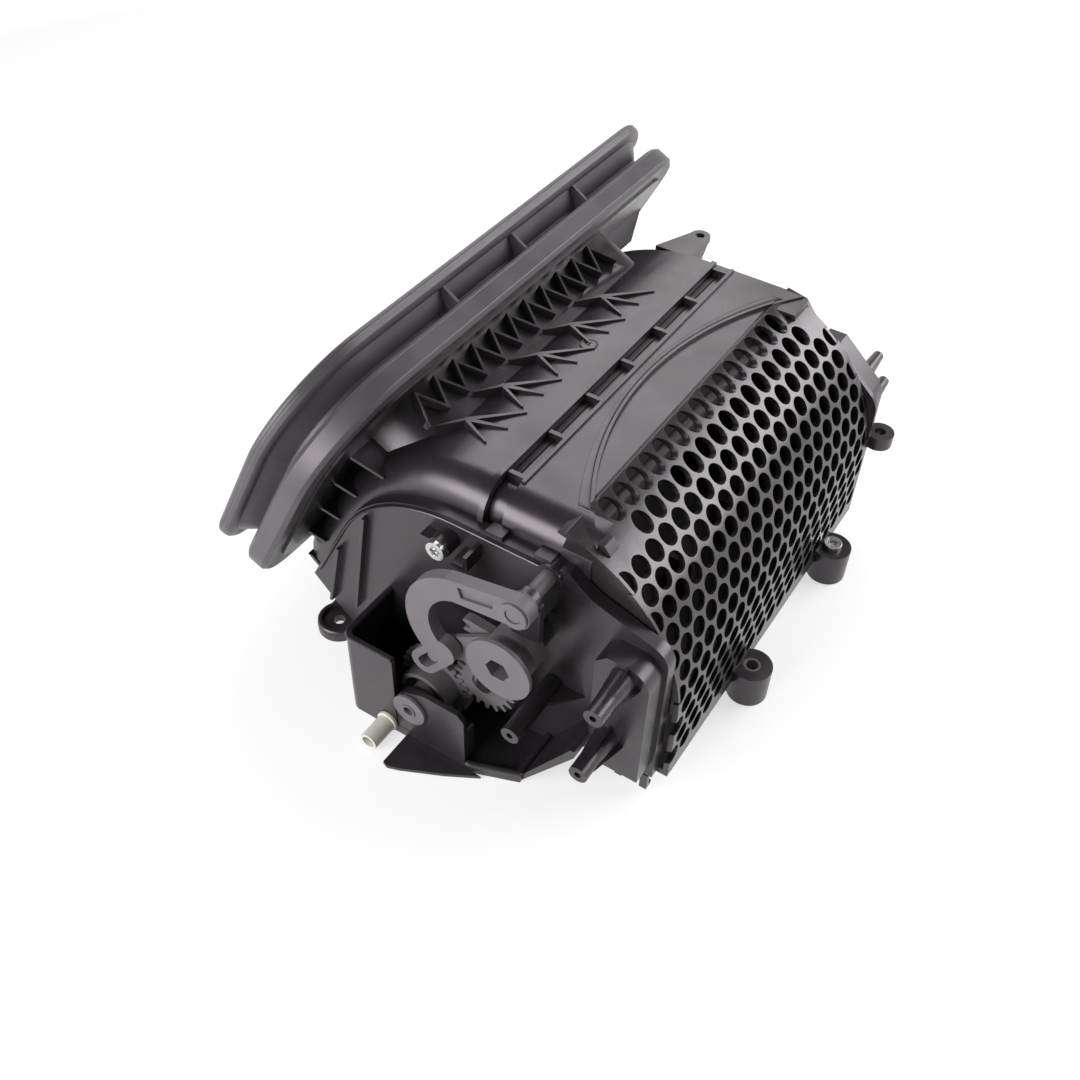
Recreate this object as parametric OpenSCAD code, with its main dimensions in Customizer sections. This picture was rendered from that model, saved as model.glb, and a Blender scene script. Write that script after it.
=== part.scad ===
// Air inlet housing of a vehicle climate unit: a fresh-air duct with a cowl seal,
// a perforated recirculation side, two air flaps and the lever and gear drive that turns them.
// Millimetres. X runs from the drive side to the far side, Y towards the fresh-air mouth, Z up.

/* [Housing] */
// Distance from the drive disc's face to the parting plane of the drive side wall
parting_x = 40; // [36:1:48]
// Length of the housing from the parting plane to the far side wall
housing_l = 226; // [200:1:260]
// Wall thickness of the moulded shells
wall = 2.5; // [2:0.1:3.5]
// Height of the parting flange's flat top above the base
flange_top = 128; // [122:1:134]
// How far the roof stands out from the parting flange, also the rounding at its drive end
roof_rise = 16; // [12:1:20]
// Radius of the parting flange's round shoulder
shoulder_r = 78; // [72:1:84]
// Distance of the shoulder's centre from the drive axis, towards the mouth
shoulder_y = 46; // [42:1:52]
// Distance of the seam between the roof shell and the top cover from the drive axis
seam_y = 34; // [30:1:38]
// Distance from the drive axis to the recirculation side of the drive side wall
side_y = 68; // [64:1:74]
// Thickness of the base plate
base_t = 4; // [3:0.5:6]
// Gap between neighbouring moulded pieces
seam_gap = 0.2; // [0.1:0.05:0.4]

/* [Mouth] */
// Tilt of the fresh-air mouth from the vertical
mouth_tilt = 27; // [22:0.5:32]
// Top of the mouth flange above the drive axis, measured in its own plane
mouth_top = 32; // [28:1:36]
// Bottom of the mouth flange below the drive axis, measured in its own plane
mouth_low = 108; // [100:1:114]
// Drive-side edge of the mouth flange
mouth_x0 = 8; // [6:1:14]
// Far edge of the mouth flange beyond the far side wall
mouth_over = 60; // [52:1:66]
// Corner radius of the mouth flange at the top of the drive side
mouth_big_r = 52; // [44:1:60]
// Corner radius of the mouth flange at its other corners
mouth_small_r = 26; // [22:1:30]
// Thickness of the mouth flange
mouth_t = 3; // [2.5:0.5:4]
// Height of the throat's window above the drive axis, in the mouth plane
throat_top = 12; // [8:1:16]
// Depth of the throat's window below the drive axis, in the mouth plane
throat_low = 91; // [86:1:94]
// Distance from the housing's ends to the throat's window
throat_in = 14; // [12:1:20]

/* [Cowl seal] */
// Distance across the two lips of the seal
seal_w = 31; // [24:1:34]
// Depth of the channel between the lips
seal_d = 17; // [14:1:20]
// Thickness of the seal's rubber
seal_t = 2.6; // [2:0.2:3.4]
// Width of the flat band on the seal's inner lip
band_w = 13; // [10:0.5:15]
// Number of bridges across the channel along the top
bridge_n = 3; // [1:1:5]

/* [Ribs] */
// Thickness of the moulded ribs
rib_t = 1.8; // [1.4:0.1:2.4]
// Distance between neighbouring folds of the zigzag stiffener
tooth_pitch = 7.8; // [7:0.2:10]
// Height of the zigzag stiffener above the throat
tooth_h = 5; // [3:0.5:7]
// How far the fins' straight tops stand above the roof
fin_h = 0.8; // [0.4:0.1:1.4]
// Number of ribs across the seam channel of the top cover
cross_rib_n = 7; // [5:1:9]
// Width of the seam channel
channel_w = 9; // [7:0.5:11]
// Depth of the seam channel
channel_d = 3; // [2:0.5:3.5]

/* [Recirculation grille] */
// Thickness of the perforated panel
grille_t = 3; // [2.4:0.2:4]
// Diameter of the grille's holes
hole_d = 9.6; // [8:0.2:10]
// Distance between neighbouring holes
hole_pitch = 12.2; // [12:0.1:14]
// Slope of the grille's upper field
grille_slope = 41; // [38:0.5:44]
// Angle of the holes' axes above the horizontal
pull_angle = 24; // [18:1:30]
// Rounding between the upper and the lower field
grille_bend = 14; // [10:1:20]
// Distance from the drive axis to the top edge of the grille
crease_y = 8; // [5:0.5:11]

/* [Lugs] */
// Radius of the fixing lugs
lug_r = 11; // [10:0.5:12]
// Height of the fixing lugs
lug_h = 21; // [16:1:24]
// Radius of the lugs' screw holes
lug_hole_r = 3.2; // [2.6:0.1:3.8]
// Distance between the two lugs on the grille side
lug_pitch = 105; // [98:1:112]
// Distance from the parting plane to the first lug
lug_in = 80; // [76:1:90]
// Radius of the ear on the mouth side
ear_r = 12; // [10:0.5:14]

/* [Drive] */
// Height of the drive axis above the base
drive_z = 85; // [82:1:90]
// Radius of the drive disc
disc_r = 17.5; // [15:0.5:19]
// Thickness of the drive disc
disc_t = 2.5; // [2:0.5:3.5]
// Width across the flats of the disc's hexagon socket
hex_af = 11; // [9:0.5:12]
// Radius of the drive hub
hub_r = 9; // [8.5:0.25:10]
// Radius of the drive hub's journal
journal_r = 6; // [5:0.5:7]
// Gear module
gear_m = 1.75; // [1.6:0.05:1.8]
// Teeth on a full turn of the drive sector
drive_teeth = 32; // [30:1:34]
// Teeth of the idler gear
idler_teeth = 18; // [17:1:20]
// Teeth of the fresh-air flap's gear
flap_teeth = 22; // [20:1:24]
// Width of the gear faces
gear_w = 5; // [4:0.5:6]
// Play between the flanks of meshing teeth, per tooth
backlash = 0.5; // [0.3:0.05:0.6]
// Turn of the drive sector between its limits
drive_turn = 55; // [45:1:58]
// Running clearance of the shafts, on the radius
run_gap = 0.05; // [0.02:0.01:0.1]

/* [Flaps] */
// Distance of the recirculation flap's shaft from the drive axis, towards the grille
lever_y = 6; // [4:0.5:8]
// Height of the recirculation flap's shaft above the drive axis
lever_z = 38; // [36:0.5:40]
// Distance of the fresh-air flap's shaft from the drive axis, towards the mouth
flap_y = 48; // [46:0.5:50]
// Depth of the fresh-air flap's shaft below the drive axis
flap_z = 58; // [56:0.5:60]
// Radius of both flap shafts
shaft_r = 4; // [3.5:0.25:4.5]
// Thickness of the flap blades
blade_t = 2.6; // [2:0.2:3.4]
// Length of the recirculation flap's blade from its shaft
recirc_l = 84; // [76:1:88]
// Length of the fresh-air flap's blade from its shaft
fresh_l = 84; // [76:1:90]
// Gap between the ends of the blades and the side walls
blade_gap = 6; // [4:0.5:10]
// Width of the soft rim on the blades
rim_w = 7; // [5:0.5:9]

/* [Lever] */
// Thickness of the hooked lever
lever_t = 6.5; // [5:0.5:7]
// Inner radius of the lever's hook
hook_in = 21; // [20:0.5:22]
// Outer radius of the lever's hook
hook_out = 34; // [32:0.5:36]
// Distance of the sector's pin from the drive axis
pin_arm = 45.6; // [44:0.2:47]
// Radius of the sector's pin
pin_r = 3; // [2.5:0.25:3.5]
// Gap between the pin and the lever's slot
slot_gap = 0.4; // [0.3:0.05:0.6]

/* [Actuator posts] */
// Radius of the actuator posts at their ends
post_r = 4.8; // [4.2:0.2:5.2]
// Radius of the screw holes in the actuator posts
post_hole_r = 1.7; // [1.3:0.1:2]
// Depth of the longest screw hole in the actuator posts
post_hole_d = 16; // [12:1:20]
// How far the posts stand out past the drive disc's face
post_out = 6; // [4:0.5:10]

/* [Hidden] */
$fn = 64;
eps = 0.05;

// Places along the housing
x0 = parting_x;
x1 = parting_x + housing_l;
roof_z = flange_top + roof_rise;
shoulder_z = flange_top - shoulder_r;
roof_r = shoulder_r + roof_rise;
side_out = side_y + 5;

// Mouth plane: n is the distance along its normal, v the height in its plane, from the drive axis
shoulder_n = shoulder_y * cos(mouth_tilt) + (shoulder_z - drive_z) * sin(mouth_tilt);
shoulder_v = (shoulder_z - drive_z) * cos(mouth_tilt) - shoulder_y * sin(mouth_tilt);
roof_n = shoulder_n + roof_r;
flange_n0 = roof_n - 1;
flange_n1 = flange_n0 + mouth_t;
mouth_x1 = x1 + mouth_over;
throat_x0 = x0 + throat_in;
throat_x1 = x1 - throat_in;
seal_over = 4;
flange_in = 9;
throat_r = 8;
throat_big_r = 32;
lip_h = 6;
flap_clear = 0.4;
lip_n = flange_n1 + seal_w;
function mouth_y(n, v) = n * cos(mouth_tilt) - v * sin(mouth_tilt);
function mouth_z(n, v) = drive_z + n * sin(mouth_tilt) + v * cos(mouth_tilt);

// Shafts
lever_pos = [-lever_y, drive_z + lever_z];
flap_pos = [flap_y, drive_z - flap_z];
flap_hub_r = shaft_r + wall;
blade_x0 = x0 + blade_gap;
blade_x1 = x1 - blade_gap;
rim_t = blade_t + 1.4;

// Gear train: drive sector, idler and flap gear mesh in one plane
drive_r = gear_m * drive_teeth / 2;
idler_r = gear_m * idler_teeth / 2;
flap_gear_r = gear_m * flap_teeth / 2;
pressure_angle = 20;
reach_a = drive_r + idler_r;
reach_b = idler_r + flap_gear_r;
span_ab = norm([flap_y, flap_z]);
along_ab = (reach_a * reach_a - reach_b * reach_b + span_ab * span_ab) / (2 * span_ab);
aside_ab = sqrt(reach_a * reach_a - along_ab * along_ab);
unit_ab = [flap_y, -flap_z] / span_ab;
idler_rel = [along_ab * unit_ab[0] + aside_ab * unit_ab[1], along_ab * unit_ab[1] - aside_ab * unit_ab[0]];
idler_pos = [idler_rel[0], drive_z + idler_rel[1]];
mesh_a = atan2(idler_rel[1], idler_rel[0]);
mesh_b = atan2(-flap_z - idler_rel[1], flap_y - idler_rel[0]);
idler_phase = mesh_phase(mesh_a, mesh_a, drive_teeth, idler_teeth);
flap_phase = mesh_phase(mesh_b, idler_phase, idler_teeth, flap_teeth);
function mesh_phase(dir, phase, z1, z2) = dir + 180 - (0.5 - (dir - phase) * z1 / 360) * 360 / z2;

// Stack of the drive, from the disc inwards
lever_x = disc_t + 1.5;
arm_x = lever_x + lever_t + 1;
arm_t = 2.5;
gear_x = arm_x + arm_t + 1.5;
gear_x1 = gear_x + gear_w;
floor_x = x0 - 7;
pin_angle = -28.8;
pin_rel = pin_arm * [cos(pin_angle), sin(pin_angle)];
pin_from_lever = pin_rel - [-lever_y, lever_z];
slot_angle = atan2(pin_from_lever[1], pin_from_lever[0]);
slot_in = norm(pin_from_lever);
pin_end = pin_arm * [cos(pin_angle - drive_turn), sin(pin_angle - drive_turn)] - [-lever_y, lever_z];
slot_out = norm(pin_end);

// Bracket, tray and posts on the drive side
tray_x = -5;
bracket_x = tray_x;
bracket_t = 3;
bush_r = shaft_r + 3;
bush_flange_r = bush_r + 2.5;
post_pos = [[-11, drive_z - 34], [-53, drive_z + 11], [-48, drive_z - 35]];
post_depth = [post_hole_d, post_hole_d - 1.2, post_hole_d - 2.4];
box_x = 20;
screw_pos = [49, drive_z + 30];
screw_out = 9;
screw_head_r = 5.2;
screw_head_h = 2.8;

// Lugs and ear
lug_y = side_out + 6;
lug_x = [x0 + lug_in, x0 + lug_in + lug_pitch];
ear_pos = [x0 - 6, 128];
sleeve_r = lug_hole_r + 1.5;

// Overall box, for the origin at its bottom centre
tongue_out = 26;
box_lo_y = -(lug_y + lug_r);
bead_r = 2.2;
box_hi_y = mouth_y(lip_n - bead_r, -mouth_low - seal_over + bead_r) + bead_r;
box_hi_x = mouth_x1 + seal_over;
origin = [(box_hi_x - tongue_out) / 2, (box_lo_y + box_hi_y) / 2, 0];

// Zigzag and fins on the roof
tooth_x0 = throat_x0 + 8;
tooth_n = 2 * floor((throat_x1 - throat_x0 - 24) / tooth_pitch / 2);
fin_pitch = 4 * tooth_pitch;
fin_n = floor((tooth_n - 2) / 4);
fin_v = throat_top + wall;
fin_y = mouth_y(sqrt(pow(roof_r, 2) - pow(fin_v - shoulder_v, 2)) + shoulder_n, fin_v) - 4;
ledge_foot = 2;

// Top cover
horn_y = 22;
horn_l = roof_rise + 2;
horn_h = 14;
crescent_r = 187;
crescent_x = x0 + 117;
crescent_y = 16.3 - crescent_r;

// Step of the base under the perforated panel
step_y = 18 - side_out;
step_z = 12;
ledge_top = step_z + base_t;
grille_low = ledge_top + 8;

// Outline of the perforated panel
slope_top = [-horn_y - 4, roof_z - 9.5];
slope_drop = (side_out + slope_top[0]) * tan(grille_slope);
bend_turn = 90 - grille_slope;
bend_t = grille_bend * tan(bend_turn / 2);
bend_c = [-side_out + grille_bend, slope_top[1] - slope_drop - bend_t];
slope_normal = [-sin(grille_slope), cos(grille_slope)];

// Sill that the recirculation flap closes on, outlet and sloping floor of the base frame
flap_seat = 0.4;
sill_y = lever_pos[0] - rim_t / 2 - flap_seat;
sill_z = lever_pos[1] - recirc_l + rim_w;
outlet_in = 24;
sill_rib_n = 3;
floor_y = 110;
floor_end = [mouth_y(roof_n - 7, -mouth_low - 1.2), mouth_z(roof_n - 7, -mouth_low - 1.2)];
curb_h = 18;
tab_y = [-side_out + 7, -side_out + 21];
tab_out = 7;
tab_w = 4;
tab_h = 8;
ear_t = 5;

// Drive side wall: raised corner, box for the posts, tray and bearing web
corner_z = 16;
bevel_end = [-27, flange_top - 9];
bevel_slope = 18;
bevel_normal = [-sin(bevel_slope), cos(bevel_slope)];
bevel_r = 12;
bevel_y = bevel_r - side_y;
bevel_drop = (bevel_end[0] - bevel_y) * tan(bevel_slope) + bevel_r / cos(bevel_slope);
bevel_c = [bevel_y, bevel_end[1] - bevel_drop];
box_y0 = -side_y + 2;
box_y1 = -38;
box_z0 = 26;
box_z1 = 104;
box_r = 12;
box_cut = 6;
tray_y0 = -11;
tray_y1 = 89;
tray_r = 6;
front_y = 58;
tray_h = 56;
tray_lip = 6;
tray_cut = [9, 24];
web_x = [arm_x + 1.5, arm_x + 5];
web_z = drive_z + hub_r + 5.5;
ear_ribs = [[[97.5, 102], [109, 31]], [[117, 70], [126.5, 26]]];
gusset_l = 18;
gusset_x = 13;

// Far side wall
far_x0 = x1 + seam_gap;
far_x1 = far_x0 + 3;
far_in = 1.5;
far_boss = 5;
bush_head = 2;
peg_pos = [[-56, 94], [-63, 79]];
far_arm_l = 24;
far_arm_y = 58;
far_box_l = 18;
far_box_y = -31;
far_box_z = [72, 116];
far_box_in = 4;
peg_l = 22;
peg_r = 4.6;
ring_pos = [far_x1 + 9, -side_out - 3];
ring_z = 60;
ring_h = 8;

// Pieces of the drive and of the flaps
bracket_y = [16, flap_y + bush_flange_r];
first_tooth = -1;
last_tooth = 6;
drum_r = 14;
eye_angle = -150;
recirc_rest = -60;
hook_c = [26, -32];
tip_r = pin_r + slot_gap + 4;

// Sleeve in front of the tray
guide_pos = [flap_y + 15.4, 6];
guide_r = 5;
guide_out = 22;
tongue_y0 = 6;
tongue_y1 = 52;

module place() {
    translate(-origin) children();
}

// Draws children with X along the housing, Y up in the mouth plane and Z against its normal
module on_mouth() {
    translate([0, 0, drive_z]) rotate([90 + mouth_tilt, 0, 0]) children();
}

// Extrudes a Y-Z outline along the housing
module along_x(from, to) {
    translate([from, 0, 0]) rotate([90, 0, 90]) linear_extrude(to - from) children();
}

// A cylinder along the housing at a Y-Z position
module rod(pos, from, to, r) {
    translate([from, pos[0], pos[1]]) rotate([0, 90, 0]) cylinder(r = r, h = to - from);
}

module cone_rod(pos, from, to, r_from, r_to) {
    translate([from, pos[0], pos[1]]) rotate([0, 90, 0]) cylinder(r1 = r_from, r2 = r_to, h = to - from);
}

// Rounded rectangle, corner radii from drive-side low, drive-side top, far top, far low
module round_rect(xa, xb, ya, yb, r) {
    polygon([
        [xa, ya + r[0]], [xa, yb - r[1]], [xa + r[1], yb], [xb - r[2], yb],
        [xb, yb - r[2]], [xb, ya + r[3]], [xb - r[3], ya], [xa + r[0], ya]]);
    translate([xa + r[0], ya + r[0]]) circle(r[0]);
    translate([xa + r[1], yb - r[1]]) circle(r[1]);
    translate([xb - r[2], yb - r[2]]) circle(r[2]);
    translate([xb - r[3], ya + r[3]]) circle(r[3]);
}

function mouth_radii(grow) = [
    mouth_small_r + grow, mouth_big_r + grow, mouth_small_r + grow, mouth_small_r + grow];

module mouth_outline(grow) {
    round_rect(mouth_x0 - grow, mouth_x1 + grow, -mouth_low - grow, mouth_top + grow, mouth_radii(grow));
}

module throat_window(grow) {
    round_rect(throat_x0 - grow, throat_x1 + grow, -throat_low - grow, throat_top + grow,
        [throat_r + grow, throat_big_r + grow, throat_r + grow, throat_r + grow]);
}

// Wall of the roof, drawn as X against the height above the parting flange,
// or as the radius about the shoulder's centre against X
module roof_box(x, low, length, height, turned) {
    if (turned) translate([shoulder_r + low, x]) square([height, length]);
    else translate([x, low]) square([length, height]);
}

module roof_fill(inset, length, turned) {
    intersection() {
        translate(turned ? [shoulder_r, x0 + roof_rise] : [x0 + roof_rise, 0]) circle(roof_rise - inset);
        roof_box(x0 - 10, 0, 10 + roof_rise, roof_rise + 10, turned);
    }
    roof_box(x0 + roof_rise - eps, 0, length - roof_rise + eps, roof_rise - inset, turned);
    roof_box(x0 + inset, -lip_h - 1, length - inset, lip_h + 1 + eps, turned);
}

module roof_section(inset, low, turned) {
    difference() {
        intersection() {
            roof_fill(inset, housing_l, turned);
            roof_box(x0 - 10, low, housing_l + 10, roof_rise + 20, turned);
        }
        roof_fill(max(inset, 0) + wall, housing_l + 1, turned);
    }
}

// A strip of the roof's flat, from one Y to another
module roof_flat(from, to, inset, low) {
    translate([0, to, flange_top]) rotate([90, 0, 0]) linear_extrude(to - from)
        roof_section(inset, low, false);
}

// The roof's wall follows a flat, the round shoulder and a flat behind the mouth
module roof_sweep() {
    lower_l = mouth_low + shoulder_v;
    roof_flat(seam_y, shoulder_y, 0, -lip_h);
    translate([0, shoulder_y, shoulder_z]) {
        rotate([90, 0, 90]) rotate([0, 0, mouth_tilt]) rotate_extrude(angle = 90 - mouth_tilt)
            roof_section(0, -lip_h, true);
        rotate([mouth_tilt - 90, 0, 0]) translate([0, lower_l, shoulder_r]) rotate([90, 0, 0])
            linear_extrude(lower_l) roof_section(0, -lip_h, false);
    }
}

// Space under the roof, used to trim what stands on it
module core_2d(r) {
    down = mouth_low + 10 + shoulder_v;
    corner = [shoulder_y, shoulder_z];
    normal = [cos(mouth_tilt), sin(mouth_tilt)];
    low = down * [sin(mouth_tilt), -cos(mouth_tilt)];
    translate(corner) circle(r);
    polygon([corner, corner + r * normal, corner + r * normal + low, corner + low]);
}

module roof_core() {
    along_x(x0 + roof_rise - eps, mouth_x1) core_2d(roof_r - wall / 2);
    along_x(-1, x0 + roof_rise) core_2d(shoulder_r + 5);
}

// Zigzag stiffener on top of the throat
module zigzag() {
    inner = roof_n - 20;
    outer = roof_n - 5.5;
    line = [for (i = [0:tooth_n]) [tooth_x0 + i * tooth_pitch, (i % 2 == 0) ? inner : outer]];
    back = [for (i = [tooth_n:-1:0]) line[i] + [0, 1.7 * rib_t]];
    on_mouth() translate([0, throat_top + wall - eps, 0]) rotate([-90, 0, 0])
        linear_extrude(tooth_h) polygon(concat(line, back));
}

// A fin in plan, tapering from the root to its tip
module fin(tip, root) {
    side = rib_t / 2 * [-tip[1], tip[0]] / norm(tip);
    polygon([root * side, tip + side / 2, tip - side / 2, -root * side]);
}

// Sprays of three fins that run from every second fold of the zigzag down to the roof
module fins() {
    linear_extrude(roof_z + fin_h) for (k = [0:fin_n - 1])
        translate([tooth_x0 + 2 * tooth_pitch + k * fin_pitch, fin_y]) {
            fin([-2 * tooth_pitch + 3, 9], 1);
            fin([21, -21], 1.4);
            fin([6, -20], 1.6);
            fin([-8, -17], 1);
        }
}

// Ribs behind the overhanging ends of the mouth flange
module flange_ribs() {
    rib_n = 3;
    step = (mouth_low - 30) / rib_n;
    far_x = mouth_x1 - flange_in - 2;
    for (i = [0:rib_n]) {
        v = -mouth_low + 20 + i * step;
        on_mouth() translate([0, v, 0]) rotate([-90, 0, 0]) linear_extrude(rib_t) {
            polygon([
                [x0 - 3, flange_n0 + eps], [x0 + roof_rise, flange_n0 + eps],
                [x0 + roof_rise, flange_n0 - 18], [x0 + 1, flange_n0 - 18]]);
            polygon([
                [far_x, flange_n0 + eps], [x1 - 4, flange_n0 + eps],
                [x1 - 4, flange_n0 - 20], [x1 - 1, flange_n0 - 20]]);
        }
    }
}

module roof_shell() {
    ledge_y = flap_y - rim_t / 2 - flap_clear - wall;
    ledge_z = flap_pos[1] + fresh_l - rim_w;
    color("#2b2b2d") place() {
        difference() {
            union() {
                roof_sweep();
                difference() {
                    union() {
                        on_mouth() translate([0, 0, -flange_n1]) linear_extrude(mouth_t)
                            mouth_outline(-flange_in);
                        on_mouth() translate([0, 0, -flange_n0]) linear_extrude(40) throat_window(wall);
                        zigzag();
                        flange_ribs();
                        fins();
                    }
                    roof_core();
                }
                roof_flat(seam_y, seam_y + 3, -2, seam_gap);
            }
            on_mouth() translate([0, 0, -flange_n1 - 1]) linear_extrude(70) throat_window(0);
        }
        translate([x0 + roof_rise, ledge_y, ledge_z])
            cube([housing_l - roof_rise, wall, roof_z - wall / 2 - ledge_z]);
        translate([x0 + roof_rise, ledge_y, roof_z - wall - ledge_foot])
            cube([housing_l - roof_rise - ledge_foot, wall + 2 * ledge_foot, ledge_foot + wall / 2]);
    }
}

// Top cover
module top_cover() {
    cross_pitch = (housing_l - roof_rise - 8) / (cross_rib_n - 1);
    channel_y = seam_y - channel_w;
    color("#2e2e30") place() {
        difference() {
            union() {
                roof_flat(-horn_y, channel_y, 0, -lip_h);
                roof_flat(channel_y - eps, seam_y - seam_gap, channel_d, -lip_h);
            }
            translate([x0 + horn_l, -horn_y - 1, flange_top - 10])
                cube([housing_l - 2 * horn_l, horn_y + 1 - crease_y, roof_rise + 20]);
            translate([crescent_x, crescent_y, roof_z - 1]) cylinder(r = crescent_r, h = 3, $fn = 160);
            rod(lever_pos, x0 - 1, x0 + wall + 1, shaft_r + 1.5);
        }
        intersection() {
            translate([crescent_x, crescent_y, roof_z - 1.2]) difference() {
                cylinder(r = crescent_r + 1.6, h = 2, $fn = 160);
                translate([0, 0, -1]) cylinder(r = crescent_r, h = 4, $fn = 160);
            }
            translate([x0 + roof_rise, -crease_y, roof_z - 2])
                cube([housing_l - roof_rise, channel_y + crease_y, 4]);
        }
        translate([x0 + roof_rise, channel_y - rib_t, roof_z - wall - channel_d + 0.5])
            cube([housing_l - roof_rise, rib_t, wall + channel_d + 0.7]);
        for (i = [0:cross_rib_n - 1])
            translate([x0 + roof_rise + 2 + i * cross_pitch, channel_y - eps, roof_z - channel_d - eps])
                cube([rib_t + 0.6, channel_w - seam_gap, channel_d + 1]);
        translate([x1 - horn_l + 1, -horn_y, roof_z - horn_h])
            cube([horn_l - 1, wall, horn_h - 1]);
        translate([x0 + roof_rise, lever_pos[0] - wall / 2, lever_pos[1] + flap_hub_r + 0.5])
            cube([housing_l - roof_rise, wall, roof_z - wall / 2 - lever_pos[1] - flap_hub_r - 0.5]);
    }
}

// Perforated panel: its outline in Y and Z, its upper field slopes, its lower field is upright
module grille_fill(inset) {
    bend_out = bend_c + (grille_bend - inset) * slope_normal;
    slope_in = slope_top - inset * slope_normal;
    polygon([
        [-crease_y - seam_gap, roof_z - inset], [-crease_y - 12, roof_z - 2.4 - inset], slope_in,
        bend_out, bend_c, [-side_out + inset, bend_c[1]], [-side_out + inset, ledge_top + seam_gap],
        [-crease_y - seam_gap, ledge_top + seam_gap]]);
    intersection() {
        translate(bend_c) circle(grille_bend - inset);
        translate([-side_out - 1, bend_c[1]]) square([grille_bend + 1, grille_bend + 1]);
    }
}

// Sheet with the hole pattern, cut along the direction of pull
module grille_sheet(reach) {
    edge = 27;
    row = hole_pitch * sin(60);
    rows = 13;
    columns = floor((housing_l - 2 * edge) / hole_pitch) + 1;
    top_w = (roof_z - 1.4) * cos(pull_angle) - (crease_y + 7) * sin(pull_angle) - 1.6;
    first = x0 + edge;
    difference() {
        translate([0, -reach]) square([x1 + reach, 3 * reach]);
        for (i = [0:rows - 1]) {
            odd = i % 2;
            more = i < 2 ? 0 : 1;
            for (j = [-more - odd * more:columns - 1 + more])
                translate([first + (j + odd / 2) * hole_pitch, top_w - i * row]) circle(d = hole_d);
        }
    }
}

module recirculation_grille() {
    cheek = 13;
    color("#3a3a3c") place() {
        difference() {
            union() {
                intersection() {
                    along_x(x0 + seam_gap, x1 - seam_gap) difference() {
                        grille_fill(0);
                        grille_fill(grille_t);
                        translate([-side_out, 0]) square([side_out, grille_low]);
                    }
                    rotate([90 - pull_angle, 0, 0]) translate([0, 0, -roof_z]) linear_extrude(3 * roof_z)
                        grille_sheet(roof_z);
                }
                for (x = [x0 + seam_gap, x1 - seam_gap - wall])
                    along_x(x, x + wall) difference() {
                        grille_fill(0);
                        grille_fill(cheek);
                    }
                along_x(x0 + seam_gap, x1 - seam_gap) translate([-side_out, ledge_top + seam_gap])
                    square([6, grille_low - ledge_top + 2]);
            }
            for (x = [x0 - 1, x1 - horn_l - seam_gap])
                translate([x, -horn_y - seam_gap, flange_top - 10])
                    cube([horn_l + seam_gap + 1, horn_y + 1, 40]);
            for (x = lug_x)
                translate([x - lug_r - 1, -side_out - 1, 0]) cube([2 * lug_r + 2, 12, lug_h + 3]);
        }
    }
}

// Base frame
module base_frame() {
    color("#29292b") place() {
        difference() {
            union() {
                translate([x0 + seam_gap, step_y, 0])
                    cube([housing_l - 2 * seam_gap, floor_y - step_y, base_t]);
                translate([x0 + seam_gap, step_y, 0])
                    cube([housing_l - 2 * seam_gap, wall, ledge_top]);
                translate([x0 + seam_gap, -side_out, step_z])
                    cube([housing_l - 2 * seam_gap, step_y + side_out + wall, base_t]);
                along_x(x0 + seam_gap, x1 - seam_gap)
                    polygon([[floor_y - 4, 0], [floor_y, 0], floor_end + [1.6, 0], floor_end + [-1.6, 0]]);
                translate([x0 + seam_gap, step_y, 0])
                    cube([wall, sill_y - step_y, curb_h]);
                for (y = tab_y) {
                    translate([x0 - tab_out, y, step_z]) cube([tab_out + wall, tab_w, 3]);
                    translate([x0 - tab_out, y, step_z - tab_h]) cube([wall, tab_w, tab_h + 1]);
                    translate([x0 - tab_out, y, step_z - tab_h]) cube([2 * wall, tab_w, wall]);
                }
                translate([x0 + seam_gap, sill_y - wall, 0])
                    cube([housing_l - 2 * seam_gap, wall, sill_z]);
                translate([x0 + seam_gap, flap_y - wall / 2, 0])
                    cube([housing_l - 2 * seam_gap, wall, flap_pos[1] - flap_hub_r - 0.5]);
                for (x = lug_x) {
                    translate([x, -lug_y, 0]) cylinder(r = lug_r, h = lug_h);
                    translate([x - 7, -lug_y, 0]) cube([14, lug_y - side_out + 4, ledge_top]);
                    translate([x - 1.25, -lug_y, 0]) cube([2.5, lug_y - side_out + 4, lug_h]);
                }
                translate([ear_pos[0], ear_pos[1], 0]) cylinder(r = ear_r, h = ear_t);
                translate([ear_pos[0], ear_pos[1] - ear_r, 0]) cube([26, 2 * ear_r, base_t]);
                translate([x0 + seam_gap, floor_y - 4, 0]) cube([26, ear_pos[1] - floor_y + 4, base_t]);
                for (k = [1:sill_rib_n])
                    translate([x0 + k * housing_l / (sill_rib_n + 1), sill_y - wall - 14, 0])
                        cube([rib_t, 15, sill_z - 12]);
            }
            translate([x0 + outlet_in, sill_y + 3, -1])
                cube([housing_l - 2 * outlet_in, flap_y - wall / 2 - 3 - sill_y - 3, base_t + 2]);
            for (x = lug_x)
                translate([x, -lug_y, -1]) cylinder(r = sleeve_r, h = lug_h + 2);
            translate([ear_pos[0], ear_pos[1], -1]) cylinder(r = lug_hole_r, h = ear_t + 2);
        }
    }
}

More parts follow.
